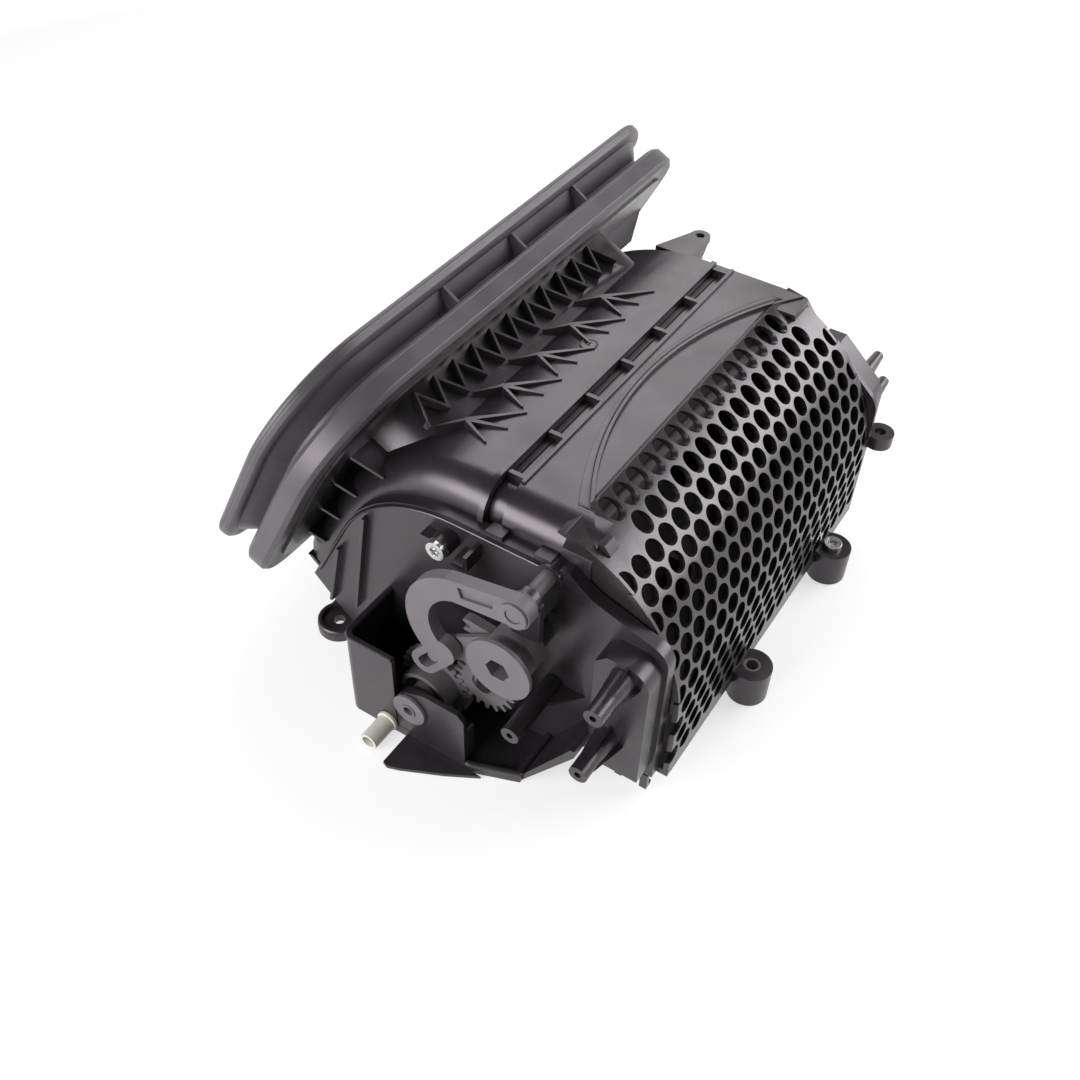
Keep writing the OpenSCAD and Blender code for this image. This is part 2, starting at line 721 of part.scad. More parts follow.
// Outline of the parting flange in Y and Z, drawn in by an inset
module end_outline(i) {
    low_v = -mouth_low + i;
    low_n = shoulder_n + shoulder_r - i;
    polygon([
        [tray_y0, i], [box_y1, corner_z + i], [-side_y + i, corner_z + i],
        [-side_y + i, bevel_c[1]], bevel_c, bevel_c + (bevel_r - i) * bevel_normal,
        bevel_end - i * bevel_normal, [-15 + 0.4 * i, flange_top - i], [shoulder_y, flange_top - i],
        [shoulder_y, shoulder_z], [mouth_y(low_n, shoulder_v), mouth_z(low_n, shoulder_v)],
        [mouth_y(low_n, low_v), mouth_z(low_n, low_v)],
        [128 - 0.7 * i, 22 + 0.4 * i], [105 - 0.5 * i, i]]);
    translate(bevel_c) circle(bevel_r - i);
    translate([shoulder_y, shoulder_z]) intersection() {
        circle(shoulder_r - i);
        polygon([
            [0, 0], 2 * shoulder_r * [cos(mouth_tilt), sin(mouth_tilt)],
            2 * shoulder_r * [cos(60), sin(60)], [0, 2 * shoulder_r]]);
    }
}

// Drive side: the wall with its tray, box, posts and bearings
module box_outline(i) {
    polygon([
        [box_y0 + i, box_z0 + i], [box_y0 + i, box_z1 - box_r], [box_y0 + box_r, box_z1 - i],
        [box_y1 - box_cut, box_z1 - i], [box_y1 - i, box_z1 - box_cut], [box_y1 - i, box_z0 + i]]);
    translate([box_y0 + box_r, box_z1 - box_r]) circle(box_r - i);
}

module tray_plan(i) {
    translate([tray_x + tray_r, tray_y1 - tray_r]) circle(tray_r - i);
    polygon([
        [tray_x + i, tray_y1 - tray_r], [tray_x + i, tray_y0 + tray_cut[1] + 0.2 * i],
        [tray_x + tray_cut[0] + 0.7 * i, tray_y0 + i], [floor_x + 1, tray_y0 + i],
        [floor_x + 1, tray_y1 - i], [tray_x + tray_r, tray_y1 - i]]);
}

module drive_side_wall() {
    boss_x = gear_x1 + 0.5;
    color("#2c2c2e") place() {
        difference() {
            union() {
                along_x(floor_x, x0) difference() {
                    end_outline(0);
                    end_outline(5);
                }
                along_x(floor_x, floor_x + 3) end_outline(0);
                linear_extrude(wall) tray_plan(0);
                linear_extrude(tray_lip) difference() {
                    tray_plan(0);
                    tray_plan(wall);
                }
                translate([tray_x + 6, tray_y1 - wall, 0]) cube([floor_x - tray_x - 5, wall, tray_h]);
                linear_extrude(tray_h) intersection() {
                    difference() {
                        tray_plan(0);
                        tray_plan(wall);
                    }
                    translate([tray_x - 1, front_y]) square([8, tray_y1 - front_y + 1]);
                }
                along_x(6, floor_x + 1) polygon([
                    [tray_y0, 0], [tray_y0 + 3, 0], [box_y1 + 1, 46], [box_y1 - 1, 46], [box_y1 - 1, 41]]);
                along_x(box_x, floor_x + 1) box_outline(0);
                rod(post_pos[0], -post_out, floor_x + 1, post_r);
                translate([0, post_pos[0][0], post_pos[0][1]]) {
                    translate([0, 0, -rib_t / 2]) linear_extrude(rib_t)
                        polygon([[gusset_x, 0], [floor_x + 1, 0], [floor_x + 1, -gusset_l]]);
                    rotate([90, 0, 0]) translate([0, 0, -rib_t / 2]) linear_extrude(rib_t)
                        polygon([[gusset_x, 0], [floor_x + 1, 0], [floor_x + 1, -gusset_l]]);
                }
                for (p = [post_pos[1], post_pos[2]]) {
                    rod(p, -post_out, box_x + 1, post_r);
                    cone_rod(p, 4, box_x + 1, post_r, post_r + 1.8);
                }
                rod([0, drive_z], boss_x, x0, journal_r + 3.5);
                rod(lever_pos, lever_x + lever_t + 2, web_x[1], shaft_r + 2.6);
                rod(lever_pos, floor_x - 2, x0, shaft_r + 2.6);
                rod(flap_pos, boss_x, x0, shaft_r + 4);
                rod(idler_pos, boss_x, floor_x + 1, 6);
                rod(screw_pos, floor_x - screw_out, x0, screw_head_r + 0.8);
                along_x(web_x[0], web_x[1]) translate([lever_pos[0] - 7.5, web_z])
                    square([15, lever_pos[1] - web_z]);
                along_x(web_x[1] - eps, floor_x + 1) translate([lever_pos[0] - wall / 2, web_z])
                    square([wall, lever_pos[1] - shaft_r - 1.5 - web_z]);
                along_x(floor_x - 4, floor_x + 1) for (e = ear_ribs)
                    polygon([e[0], e[0] + [rib_t, 0], e[1] + [rib_t, 0], e[1]]);
                along_x(floor_x - 7, floor_x + 1) translate([screw_pos[0] + 3, screw_pos[1] - 2])
                    square([9, 3]);
                along_x(floor_x - 12, floor_x + 1) translate([screw_pos[0] - 18, screw_pos[1] - 3]) {
                    square([9, 2.2]);
                    square([2.2, 9]);
                }
                for (y = [-6, 20]) translate([floor_x, y, flange_top - 1]) cube([x0 - floor_x, 9, 3.5]);
            }
            along_x(box_x + wall, floor_x + 4) box_outline(wall);
            rod([0, drive_z], 0, x0 + 1, journal_r + run_gap);
            rod(lever_pos, 0, x0 + 1, shaft_r + run_gap);
            rod(flap_pos, 0, x0 + 1, shaft_r + run_gap);
            rod(idler_pos, boss_x - 1, floor_x + 4, 3);
            rod(screw_pos, 0, x0 - 1, 2);
            for (i = [0:2]) rod(post_pos[i], -post_out - 1, post_depth[i] - post_out, post_hole_r);
            rod(guide_pos, tray_x - 1, tray_x + wall + 1, guide_r);
        }
    }
}

// Far side wall with shaft seats, arm, pegs and ring lug
module far_outline() {
    grille_fill(0);
    translate([-crease_y - 1, 0]) square([crease_y + shoulder_y + 1, roof_z - far_in]);
    translate([-side_out, step_z]) square([side_out, base_t + 1]);
    translate([step_y, 0]) square([-step_y, ledge_top + 1]);
    polygon([
        [shoulder_y - eps, 0], [shoulder_y - eps, shoulder_z], [shoulder_y, shoulder_z],
        [mouth_y(roof_n - far_in, shoulder_v), mouth_z(roof_n - far_in, shoulder_v)],
        [mouth_y(roof_n - far_in, -mouth_low), mouth_z(roof_n - far_in, -mouth_low)], [110, 0]]);
    translate([shoulder_y, shoulder_z]) intersection() {
        circle(roof_r - far_in);
        polygon([
            [-eps, 0], 2 * roof_r * [cos(mouth_tilt), sin(mouth_tilt)],
            2 * roof_r * [cos(60), sin(60)], [-eps, 2 * roof_r]]);
    }
}

// Box on the outside of the far wall, drawn in by an inset
module far_box(i) {
    r = grille_bend - far_box_in - i;
    left = -side_out + far_box_in + i;
    right = far_box_y - i;
    low = far_box_z[0] + i;
    high = far_box_z[1] - i;
    slope_in = slope_top - (far_box_in + i) * slope_normal;
    polygon([
        [left, low], [left, bend_c[1]], bend_c + r * slope_normal,
        [slope_in[0] - (slope_in[1] - high) / tan(grille_slope), high], [right, high], [right, low]]);
}

module far_side_wall() {
    arm_z = roof_z - 6;
    color("#2c2c2e") place() difference() {
        union() {
            along_x(far_x0, far_x1) far_outline();
            rod(lever_pos, far_x0, far_x1 + far_boss, bush_r + 3);
            rod(flap_pos, far_x0, far_x1 + far_boss, bush_r + 3);
            along_x(far_x0, far_x1 + far_box_l) far_box(0);
            for (p = peg_pos)
                cone_rod(p, far_x1 + far_box_l - eps, far_x1 + far_box_l + peg_l, peg_r, peg_r - 1.4);
            translate([0, 0, arm_z]) linear_extrude(3) polygon([
                [far_x1 - eps, far_arm_y - 6], [far_x1 + far_arm_l, far_arm_y - 6],
                [far_x1 + far_arm_l, far_arm_y + 6], [far_x1 - eps, far_arm_y + 16]]);
            for (y = [far_arm_y - 3, far_arm_y + 6]) translate([far_x1 - eps, y, arm_z]) rotate([90, 0, 0])
                linear_extrude(3) polygon([[0, -26], [0, 1], [far_arm_l, 1]]);
            translate([far_x1 + far_arm_l, far_arm_y, arm_z]) cylinder(r = 6, h = 3);
            translate([ring_pos[0], ring_pos[1], ring_z]) cylinder(r = 8, h = ring_h);
            translate([far_x1 - eps, -side_out, ring_z]) cube([9, 12, ring_h]);
        }
        rod(lever_pos, x1 - 1, far_x1 + 9, bush_r);
        rod(flap_pos, x1 - 1, far_x1 + 9, bush_r);
        along_x(x1 - 1, far_x1 + far_box_l - wall) far_box(wall);
        translate([far_x1 + far_arm_l, far_arm_y, roof_z - 20]) cylinder(r = 2.6, h = 20);
        translate([ring_pos[0], ring_pos[1], ring_z - 1]) cylinder(r = lug_hole_r, h = ring_h + 2);
    }
}

// Cowl seal: a channel of two lips swept round the mouth flange
module seal_profile() {
    root = flange_n1 + seal_w / 2;
    band_lo = roof_n + seam_gap;
    band_hi = band_lo + band_w;
    edge = -seal_over - flange_in + seam_gap;
    polygon([
        [-seal_d, -flange_n1], [edge, -flange_n1], [edge, -flange_n1 + 1.5], [-bead_r, -band_lo],
        [0, -band_lo - bead_r], [0, -band_hi + bead_r], [-bead_r, -band_hi],
        [-seal_d + seal_t, -root + 4], [-seal_d + seal_t, -root], [-bead_r, -lip_n + seal_t],
        [-bead_r, -lip_n], [-seal_d, -root - seal_t]]);
    translate([-bead_r, -lip_n + bead_r]) circle(bead_r, $fn = 24);
}

module cowl_seal() {
    xa = mouth_x0 - seal_over;
    xb = mouth_x1 + seal_over;
    va = -mouth_low - seal_over;
    vb = mouth_top + seal_over;
    r = mouth_radii(seal_over);
    color("#1b1b1c") place() on_mouth() {
        translate([xa + r[1], vb, 0]) rotate([90, 0, 90])
            linear_extrude(xb - r[2] - xa - r[1]) seal_profile();
        translate([xb, vb - r[2], 0]) rotate([0, 0, -90]) rotate([90, 0, 90])
            linear_extrude(vb - r[2] - va - r[3]) seal_profile();
        translate([xb - r[3], va, 0]) rotate([0, 0, 180]) rotate([90, 0, 90])
            linear_extrude(xb - r[3] - xa - r[0]) seal_profile();
        translate([xa, va + r[0], 0]) rotate([0, 0, 90]) rotate([90, 0, 90])
            linear_extrude(vb - r[1] - va - r[0]) seal_profile();
        translate([xa + r[1], vb - r[1], 0]) rotate([0, 0, 90]) rotate_extrude(angle = 90)
            translate([r[1], 0]) seal_profile();
        translate([xb - r[2], vb - r[2], 0]) rotate_extrude(angle = 90) translate([r[2], 0]) seal_profile();
        translate([xb - r[3], va + r[3], 0]) rotate([0, 0, -90]) rotate_extrude(angle = 90)
            translate([r[3], 0]) seal_profile();
        translate([xa + r[0], va + r[0], 0]) rotate([0, 0, 180]) rotate_extrude(angle = 90)
            translate([r[0], 0]) seal_profile();
        for (i = [1:bridge_n])
            translate([xa + r[1] + i * (xb - xa - r[1] - r[2]) / (bridge_n + 1), vb - seal_d + 1, 0])
                rotate([90, 0, 90]) linear_extrude(2) polygon([
                    [0, -flange_n1 - 8], [seal_d - 7, -flange_n1 - 8],
                    [seal_d - 5, -lip_n + seal_t + 1], [0, -flange_n1 - seal_w / 2 - 1]]);
    }
}

// Bearing bracket in front of the flap gear, standing on the tray's lip
module bearing_bracket() {
    low = tray_lip + 0.2;
    rear_x = bracket_x + bracket_t - eps;
    color("#303033") place() difference() {
        union() {
            along_x(bracket_x, bracket_x + bracket_t) {
                polygon([
                    [bracket_y[0], low], [bracket_y[0], 38], [20, 42], [40, 42], [bracket_y[1] - 6, 37],
                    [bracket_y[1], flap_pos[1]], [bracket_y[1], low]]);
                translate(flap_pos) circle(bracket_y[1] - flap_y);
            }
            rod(flap_pos, bracket_x, bracket_x + bracket_t + 3, bush_r + 2);
            translate([rear_x, bracket_y[0], wall]) cube([2.5, bracket_y[1] - bracket_y[0], 9]);
            translate([rear_x, bracket_y[0], wall]) cube([7, bracket_y[1] - bracket_y[0], 2]);
            translate([rear_x, bracket_y[0], wall]) cube([6, 2, 26]);
        }
        rod(flap_pos, bracket_x - 1, bracket_x + 12, bush_r);
    }
}

module bracket_bush() {
    color("#4a4a4d") place() difference() {
        union() {
            rod(flap_pos, bracket_x - 2, bracket_x, bush_flange_r);
            rod(flap_pos, bracket_x - 2, bracket_x + bracket_t + 3, bush_r);
        }
        rod(flap_pos, bracket_x - 3, bracket_x + 12, shaft_r + run_gap);
    }
}

module far_bushes() {
    color("#4a4a4d") place() for (p = [lever_pos, flap_pos]) difference() {
        union() {
            rod(p, far_x0, far_x1 + far_boss + bush_head, bush_r);
            rod(p, far_x1 + far_boss, far_x1 + far_boss + bush_head, bush_flange_r);
        }
        rod(p, x1 - 1, far_x1 + 9, shaft_r + run_gap);
    }
}

// Involute gearing
function involute(a) = tan(a) * 180 / PI - a;
function half_tooth(rho, z) =
    let (rb = gear_m * z / 2 * cos(pressure_angle))
    90 / z + involute(pressure_angle) - involute(acos(min(1, rb / rho)))
    - backlash / 4 / (gear_m * z / 2) * 180 / PI;
function tooth_radii(z) =
    let (rp = gear_m * z / 2, rf = rp - 1.25 * gear_m, rb = max(rf, rp * cos(pressure_angle)))
    concat(rf < rb ? [rf] : [], [for (k = [0:4]) rb + (rp + gear_m - rb) * k / 4]);
function at_polar(r, a) = r * [cos(a), sin(a)];
function gear_points(z, phase, first, last) =
    let (radii = tooth_radii(z), n = len(radii))
    [for (i = [first:last]) let (c = phase + i * 360 / z) each concat(
        [for (k = [0:n - 1]) at_polar(radii[k], c - half_tooth(radii[k], z))],
        [for (k = [n - 1:-1:0]) at_polar(radii[k], c + half_tooth(radii[k], z))])];

module hex_2d(af) {
    circle(d = af / cos(30), $fn = 6);
}

module drive_disc() {
    color("#38383b") place() translate([0, 0, drive_z]) difference() {
        union() {
            rod([0, 0], 0, disc_t, disc_r);
            rod([0, 0], disc_t - eps, gear_x, hub_r);
            rod([0, 0], gear_x - eps, x0 + 4, journal_r);
        }
        along_x(-1, gear_x - 3) hex_2d(hex_af);
    }
}

module drive_sector() {
    tooth = 360 / drive_teeth;
    color("#434347") place() translate([0, 0, drive_z]) difference() {
        union() {
            along_x(gear_x, gear_x1)
                polygon(concat([[0, 0]], gear_points(drive_teeth, mesh_a, first_tooth, last_tooth)));
            rod([0, 0], arm_x, gear_x1, hub_r + 4);
            along_x(arm_x, arm_x + arm_t) {
                rotate([0, 0, pin_angle]) polygon([[0, -10], [pin_arm, -6.5], [pin_arm, 6.5], [0, 10]]);
                translate(pin_rel) circle(6.5);
            }
            rod(pin_rel, lever_x + 0.5, arm_x + eps, pin_r);
        }
        rod([0, 0], arm_x - 1, gear_x, hub_r);
        rod([0, 0], gear_x - 1, gear_x1 + 1, journal_r);
        along_x(gear_x - 1, gear_x1 + 1) rotate([0, 0, mesh_a + 2.5 * tooth]) intersection() {
            difference() {
                circle(drive_r - 6);
                circle(hub_r + 7);
            }
            polygon([[0, 0], [40, -19], [40, 19]]);
        }
    }
}

module idler_gear() {
    color("#4b4b4f") place() difference() {
        union() {
            translate([0, idler_pos[0], idler_pos[1]]) along_x(gear_x, gear_x1)
                polygon(gear_points(idler_teeth, idler_phase, 0, idler_teeth - 1));
        }
        rod(idler_pos, gear_x - 1, gear_x1 + 1, 3 + run_gap);
        rod(idler_pos, gear_x - 1, gear_x + 1, 7);
    }
}

module idler_pin() {
    color("#b9bbbe") place() {
        rod(idler_pos, gear_x - 0.1, floor_x + 3, 3);
        rod(idler_pos, gear_x - 0.9, gear_x - 0.1 + eps, 4.6);
    }
}

module flap_gear() {
    color("#434347") place() translate([0, flap_pos[0], flap_pos[1]]) difference() {
        union() {
            along_x(gear_x, gear_x1) polygon(gear_points(flap_teeth, flap_phase, 0, flap_teeth - 1));
            rod([0, 0], lever_x + 1, gear_x + eps, drum_r);
            along_x(lever_x + 2, lever_x + 5.5) rotate([0, 0, eye_angle]) {
                translate([0, -4.5]) square([17, 9]);
                translate([17, 0]) circle(4.5);
            }
        }
        rod([0, 0], 0, gear_x1 + 1, shaft_r);
        difference() {
            rod([0, 0], lever_x, gear_x - 2, drum_r - 2.5);
            rod([0, 0], lever_x, gear_x, shaft_r + 2.5);
        }
        along_x(lever_x, lever_x + 8) rotate([0, 0, eye_angle]) translate([17, 0]) circle(1.8);
    }
}

module fresh_flap_shaft() {
    color("#8f9194") place() difference() {
        rod(flap_pos, bracket_x - 2.5, far_x1 + 8, shaft_r);
        rod(flap_pos, bracket_x - 4, bracket_x + 8, shaft_r - 1.3);
    }
}

module recirc_flap_shaft() {
    color("#8f9194") place() rod(lever_pos, disc_t + 0.6, far_x1 + 8, shaft_r);
}

// A flap standing up from its shaft: blade, hub and ribs
module flap_blade(length) {
    rib_count = 5;
    pitch = (blade_x1 - blade_x0) / (rib_count + 1);
    difference() {
        union() {
            translate([blade_x0 + 3, -blade_t / 2, 0])
                cube([blade_x1 - blade_x0 - 6, blade_t, length - 3]);
            rod([0, 0], blade_x0, blade_x1, flap_hub_r);
            for (i = [1:rib_count]) translate([blade_x0 + i * pitch, 0, 0]) rotate([90, 0, 0])
                translate([0, 0, -5]) linear_extrude(5) square([rib_t, length - rim_w - 8]);
        }
        rod([0, 0], blade_x0 - 1, blade_x1 + 1, shaft_r);
    }
}

module flap_rim(length) {
    difference() {
        translate([blade_x0, -rim_t / 2, flap_hub_r + 1])
            cube([blade_x1 - blade_x0, rim_t, length - flap_hub_r - 1]);
        translate([blade_x0 + rim_w, -rim_t, 0])
            cube([blade_x1 - blade_x0 - 2 * rim_w, 2 * rim_t, length - rim_w]);
        translate([blade_x0 + 3, -blade_t / 2, 0])
            cube([blade_x1 - blade_x0 - 6, blade_t, length - 3]);
    }
}

module fresh_flap() {
    color("#353538") place() translate([0, flap_pos[0], flap_pos[1]]) flap_blade(fresh_l);
}

module fresh_flap_rim() {
    color("#1d1d1e") place() translate([0, flap_pos[0], flap_pos[1]]) flap_rim(fresh_l);
}

module at_recirc() {
    translate([0, lever_pos[0], lever_pos[1]]) rotate([recirc_rest - 90, 0, 0]) children();
}

module recirc_flap() {
    color("#353538") place() at_recirc() flap_blade(recirc_l);
}

module recirc_flap_rim() {
    color("#1d1d1e") place() at_recirc() flap_rim(recirc_l);
}

// Hook lever: arm, hook band and slotted tip, reaching the drive pin
module hook_2d() {
    circle(8);
    polygon([[0, 8], [37, 0.5], [32.5, -12], [0, -8]]);
    translate(hook_c) intersection() {
        difference() {
            circle(hook_out);
            circle(hook_in);
        }
        polygon([
            [0, 0], 60 * [cos(50), -sin(50)], 90 * [cos(15), -sin(15)],
            90 * [cos(20), sin(20)], 60 * [cos(72), sin(72)]]);
    }
    rotate([0, 0, slot_angle]) {
        translate([slot_in - 9, -tip_r]) square([slot_out - slot_in + 9, 2 * tip_r]);
        translate([slot_out, 0]) circle(tip_r);
        translate([slot_in - 9, 0]) circle(tip_r);
    }
}

module slot_2d() {
    rotate([0, 0, slot_angle]) {
        translate([slot_in, -pin_r - slot_gap]) square([slot_out - slot_in, 2 * (pin_r + slot_gap)]);
        translate([slot_out, 0]) circle(pin_r + slot_gap);
        translate([slot_in, 0]) circle(pin_r + slot_gap);
    }
}

module hook_lever() {
    color("#3d3d40") place() translate([0, lever_pos[0], lever_pos[1]]) difference() {
        union() {
            along_x(lever_x, lever_x + lever_t) hook_2d();
            rod([0, 0], lever_x - 1.5, lever_x + lever_t + 1, 7);
        }
        along_x(lever_x - 1, lever_x + lever_t + 1) slot_2d();
        rod([0, 0], 0, lever_x + lever_t + 2, shaft_r);
        along_x(lever_x - 1, lever_x + 1.5) polygon([[11, 2.5], [30, -1], [28, -7], [11, -3.5]]);
    }
}

module lever_washer() {
    start = lever_x + lever_t + 1;
    color("#3d3d40") place() difference() {
        rod(lever_pos, start, start + 0.9, shaft_r + 3);
        rod(lever_pos, start - 1, start + 2, shaft_r);
    }
}

// Fasteners and fittings
module parting_screw() {
    head_x = floor_x - screw_out;
    color("#a5a7ab") place() difference() {
        union() {
            rod(screw_pos, head_x - screw_head_h, head_x, screw_head_r);
            rod(screw_pos, head_x - eps, x0 - 3, 2);
        }
        translate([0, screw_pos[0], screw_pos[1]])
            along_x(head_x - screw_head_h - 1, head_x - 1) six_lobe();
    }
}

// Drive socket of the screws
module six_lobe() {
    for (a = [0, 60, 120]) rotate([0, 0, a]) square([5.6, 1.7], center = true);
}

module lug_screw() {
    color("#a5a7ab") place() translate([lug_x[1], -lug_y, 0]) difference() {
        union() {
            translate([0, 0, lug_h]) cylinder(r = screw_head_r, h = screw_head_h);
            translate([0, 0, 0.5]) cylinder(r = lug_hole_r - 0.3, h = lug_h);
        }
        translate([0, 0, lug_h + 1]) linear_extrude(screw_head_h) six_lobe();
    }
}

module lug_sleeves() {
    color("#4a4a4d") place() for (x = lug_x) translate([x, -lug_y, 0]) difference() {
        cylinder(r = sleeve_r, h = lug_h);
        translate([0, 0, -1]) cylinder(r = lug_hole_r, h = lug_h + 2);
    }
}

// White sleeve and tongue in front of the tray
module guide_sleeve() {
    color("#d8d6cf") place() difference() {
        union() {
            rod(guide_pos, -guide_out, tray_x + wall, guide_r);
            rod(guide_pos, tray_x - 2, tray_x, guide_r + 0.9);
        }
        rod(guide_pos, -guide_out - 1, tray_x - 1, guide_r - 1.6);
    }
}

module locating_tongue() {
    color("#333336") place() linear_extrude(wall) polygon([
        [tray_x, tongue_y0], [tray_x, tongue_y1], [-tongue_out + 1, tongue_y1],
        [-tongue_out, tongue_y1 - 3], [-tongue_out + 2, tongue_y1 - 9], [tray_x - 9, tongue_y0 + 16]]);
}

module cover_latch() {
    y0 = -horn_y - seam_gap;
    color("#343437") place() along_x(x0 + 5, x0 + 13) polygon([
        [y0, roof_z - 4.6], [y0 - 5, roof_z - 10.1], [y0 - 6.5, roof_z - 7.5],
        [y0 - 3, roof_z - 3], [y0, roof_z - 2]]);
}

roof_shell();
top_cover();
recirculation_grille();
base_frame();
drive_side_wall();
far_side_wall();
cowl_seal();
bearing_bracket();
bracket_bush();
far_bushes();
drive_disc();
drive_sector();
idler_gear();
idler_pin();
flap_gear();
fresh_flap_shaft();
fresh_flap();
fresh_flap_rim();
hook_lever();
lever_washer();
recirc_flap_shaft();
recirc_flap();
recirc_flap_rim();
parting_screw();
lug_screw();
lug_sleeves();
guide_sleeve();
locating_tongue();
cover_latch();
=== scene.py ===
# %% [markdown]
# # An air inlet housing in black plastic
# The housing draws air into a vehicle's climate unit: through the sealed mouth when it runs on
# fresh air, through the perforated side when it recirculates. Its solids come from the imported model
# and stay where they are. This lesson gives them moulded edges, finishes, small mould details, a
# smoother perforated panel, soft studio light and a camera.

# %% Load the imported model
import math

import bmesh
import bpy
from mathutils import Matrix, Quaternion, Vector


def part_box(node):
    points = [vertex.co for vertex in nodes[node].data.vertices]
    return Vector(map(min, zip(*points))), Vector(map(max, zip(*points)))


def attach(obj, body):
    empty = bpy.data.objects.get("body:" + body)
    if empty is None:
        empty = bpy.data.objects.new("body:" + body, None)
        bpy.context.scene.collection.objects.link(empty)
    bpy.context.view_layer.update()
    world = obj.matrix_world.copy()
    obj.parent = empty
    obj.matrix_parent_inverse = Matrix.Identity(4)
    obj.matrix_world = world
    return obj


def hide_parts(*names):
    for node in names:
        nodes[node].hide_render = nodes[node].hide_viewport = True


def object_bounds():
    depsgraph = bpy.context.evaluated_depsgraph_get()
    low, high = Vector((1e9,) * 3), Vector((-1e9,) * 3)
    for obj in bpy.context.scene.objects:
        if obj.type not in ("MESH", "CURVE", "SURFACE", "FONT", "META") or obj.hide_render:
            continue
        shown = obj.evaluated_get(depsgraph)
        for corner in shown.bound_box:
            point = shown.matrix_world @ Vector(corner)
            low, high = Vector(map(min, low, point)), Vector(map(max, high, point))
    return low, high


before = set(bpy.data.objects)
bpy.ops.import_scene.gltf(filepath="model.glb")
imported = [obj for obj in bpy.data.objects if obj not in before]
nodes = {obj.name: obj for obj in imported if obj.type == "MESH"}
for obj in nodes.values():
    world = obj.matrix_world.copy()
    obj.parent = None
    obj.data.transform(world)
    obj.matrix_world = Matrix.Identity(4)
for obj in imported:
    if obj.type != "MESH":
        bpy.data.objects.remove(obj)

cad_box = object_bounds()
print("solids:", len(nodes), "box:", [round(1000 * (b - a)) for a, b in zip(*cad_box)], "mm")

# %% [markdown]
# ## Places on the housing
# The housing is measured in millimetres from the middle of the drive disc's face: X runs along the
# housing, Y towards the sealed mouth, Z up from the base. One helper turns such a place into metres
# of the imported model, and it takes its zero from the disc itself, so details follow the solids.

# %% Take the zero from the drive disc
disc_low, disc_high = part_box("drive_disc")
ZERO = Vector((disc_low.x, (disc_low.y + disc_high.y) / 2, cad_box[0].z))


def at(x, y, z):
    """A place on the housing in millimetres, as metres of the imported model."""
    return ZERO + Vector((x, y, z)) / 1000


print("zero at", [round(1000 * c, 2) for c in ZERO], "mm")

# %% [markdown]
# ## The camera
# The portrait looks down on the drive side and the grille from about two thirds of a metre. A
# camera can be aimed with a Track To constraint, but a fixed turn is easier to compare with a
# picture: azimuth and elevation give the direction, and a small roll leans the picture a little, as
# a hand-held camera does.

# %% Aim the camera
CAMERA_AT = at(-280.472, -191.191, 511.772)
AZIMUTH, ELEVATION, ROLL = math.radians(-58.606), math.radians(45.286), math.radians(2.102)
FOCAL_PIXELS, FRAME_PIXELS, SENSOR_MM = 1209.356, 1080, 36
CLIP = (0.01, 20)     # metres

back = Vector((math.sin(AZIMUTH) * math.cos(ELEVATION),
               -math.cos(AZIMUTH) * math.cos(ELEVATION),
               math.sin(ELEVATION)))
camera_data = bpy.data.cameras.new("portrait_camera")
camera_data.sensor_width = SENSOR_MM
camera_data.lens = FOCAL_PIXELS / FRAME_PIXELS * SENSOR_MM
camera_data.clip_start, camera_data.clip_end = CLIP
camera = bpy.data.objects.new("portrait_camera", camera_data)
camera.location = CAMERA_AT
camera.rotation_mode = "QUATERNION"
camera.rotation_quaternion = (-back).to_track_quat("-Z", "Y") @ Quaternion((0, 0, 1), ROLL)
scene = bpy.context.scene
scene.collection.objects.link(camera)
scene.camera = camera
scene.view_settings.view_transform = "Standard"
print("lens:", round(camera_data.lens, 2), "mm")

# %% [markdown]
# ## Floor, room and softboxes
# Black plastic shows what it mirrors, so the room matters more than the lamps. The room is a white
# floor and white walls under a dark ceiling. The walls look white to the camera and to reflections,
# while they light the object only a little. The dark ceiling leaves the plastic black wherever it
# mirrors no lamp. Three large area lamps stand for softboxes: behind, to the left and to the right.

# %% Small helpers for shader trees
def node_tree(data, kinds):
    """Clears a shader tree and adds nodes by name."""
    data.use_nodes = True
    tree = data.node_tree
    tree.nodes.clear()
    made = {}
    for name, kind in kinds.items():
        made[name] = tree.nodes.new(kind)
    return tree, made


def wire(tree, *pairs):
    """Links output sockets to input sockets."""
    for out, into in pairs:
        tree.links.new(out, into)


def seen_in_mirrors(tree, light_path):
    """Is one for rays that come from the camera, from gloss or through glass."""
    first = tree.nodes.new("ShaderNodeMath")
    second = tree.nodes.new("ShaderNodeMath")
    first.operation = second.operation = "MAXIMUM"
    wire(tree, (light_path.outputs["Is Camera Ray"], first.inputs[0]),
         (light_path.outputs["Is Glossy Ray"], first.inputs[1]),
         (first.outputs[0], second.inputs[0]),
         (light_path.outputs["Is Transmission Ray"], second.inputs[1]))
    return second.outputs[0]


print("helpers for shader trees are ready")

# %% World
WORLD_FILL = 0.22
CEILING = 0.10
WALL_TOP, CEILING_FROM = 0.22, 0.55     # sines of the heights where the white fades

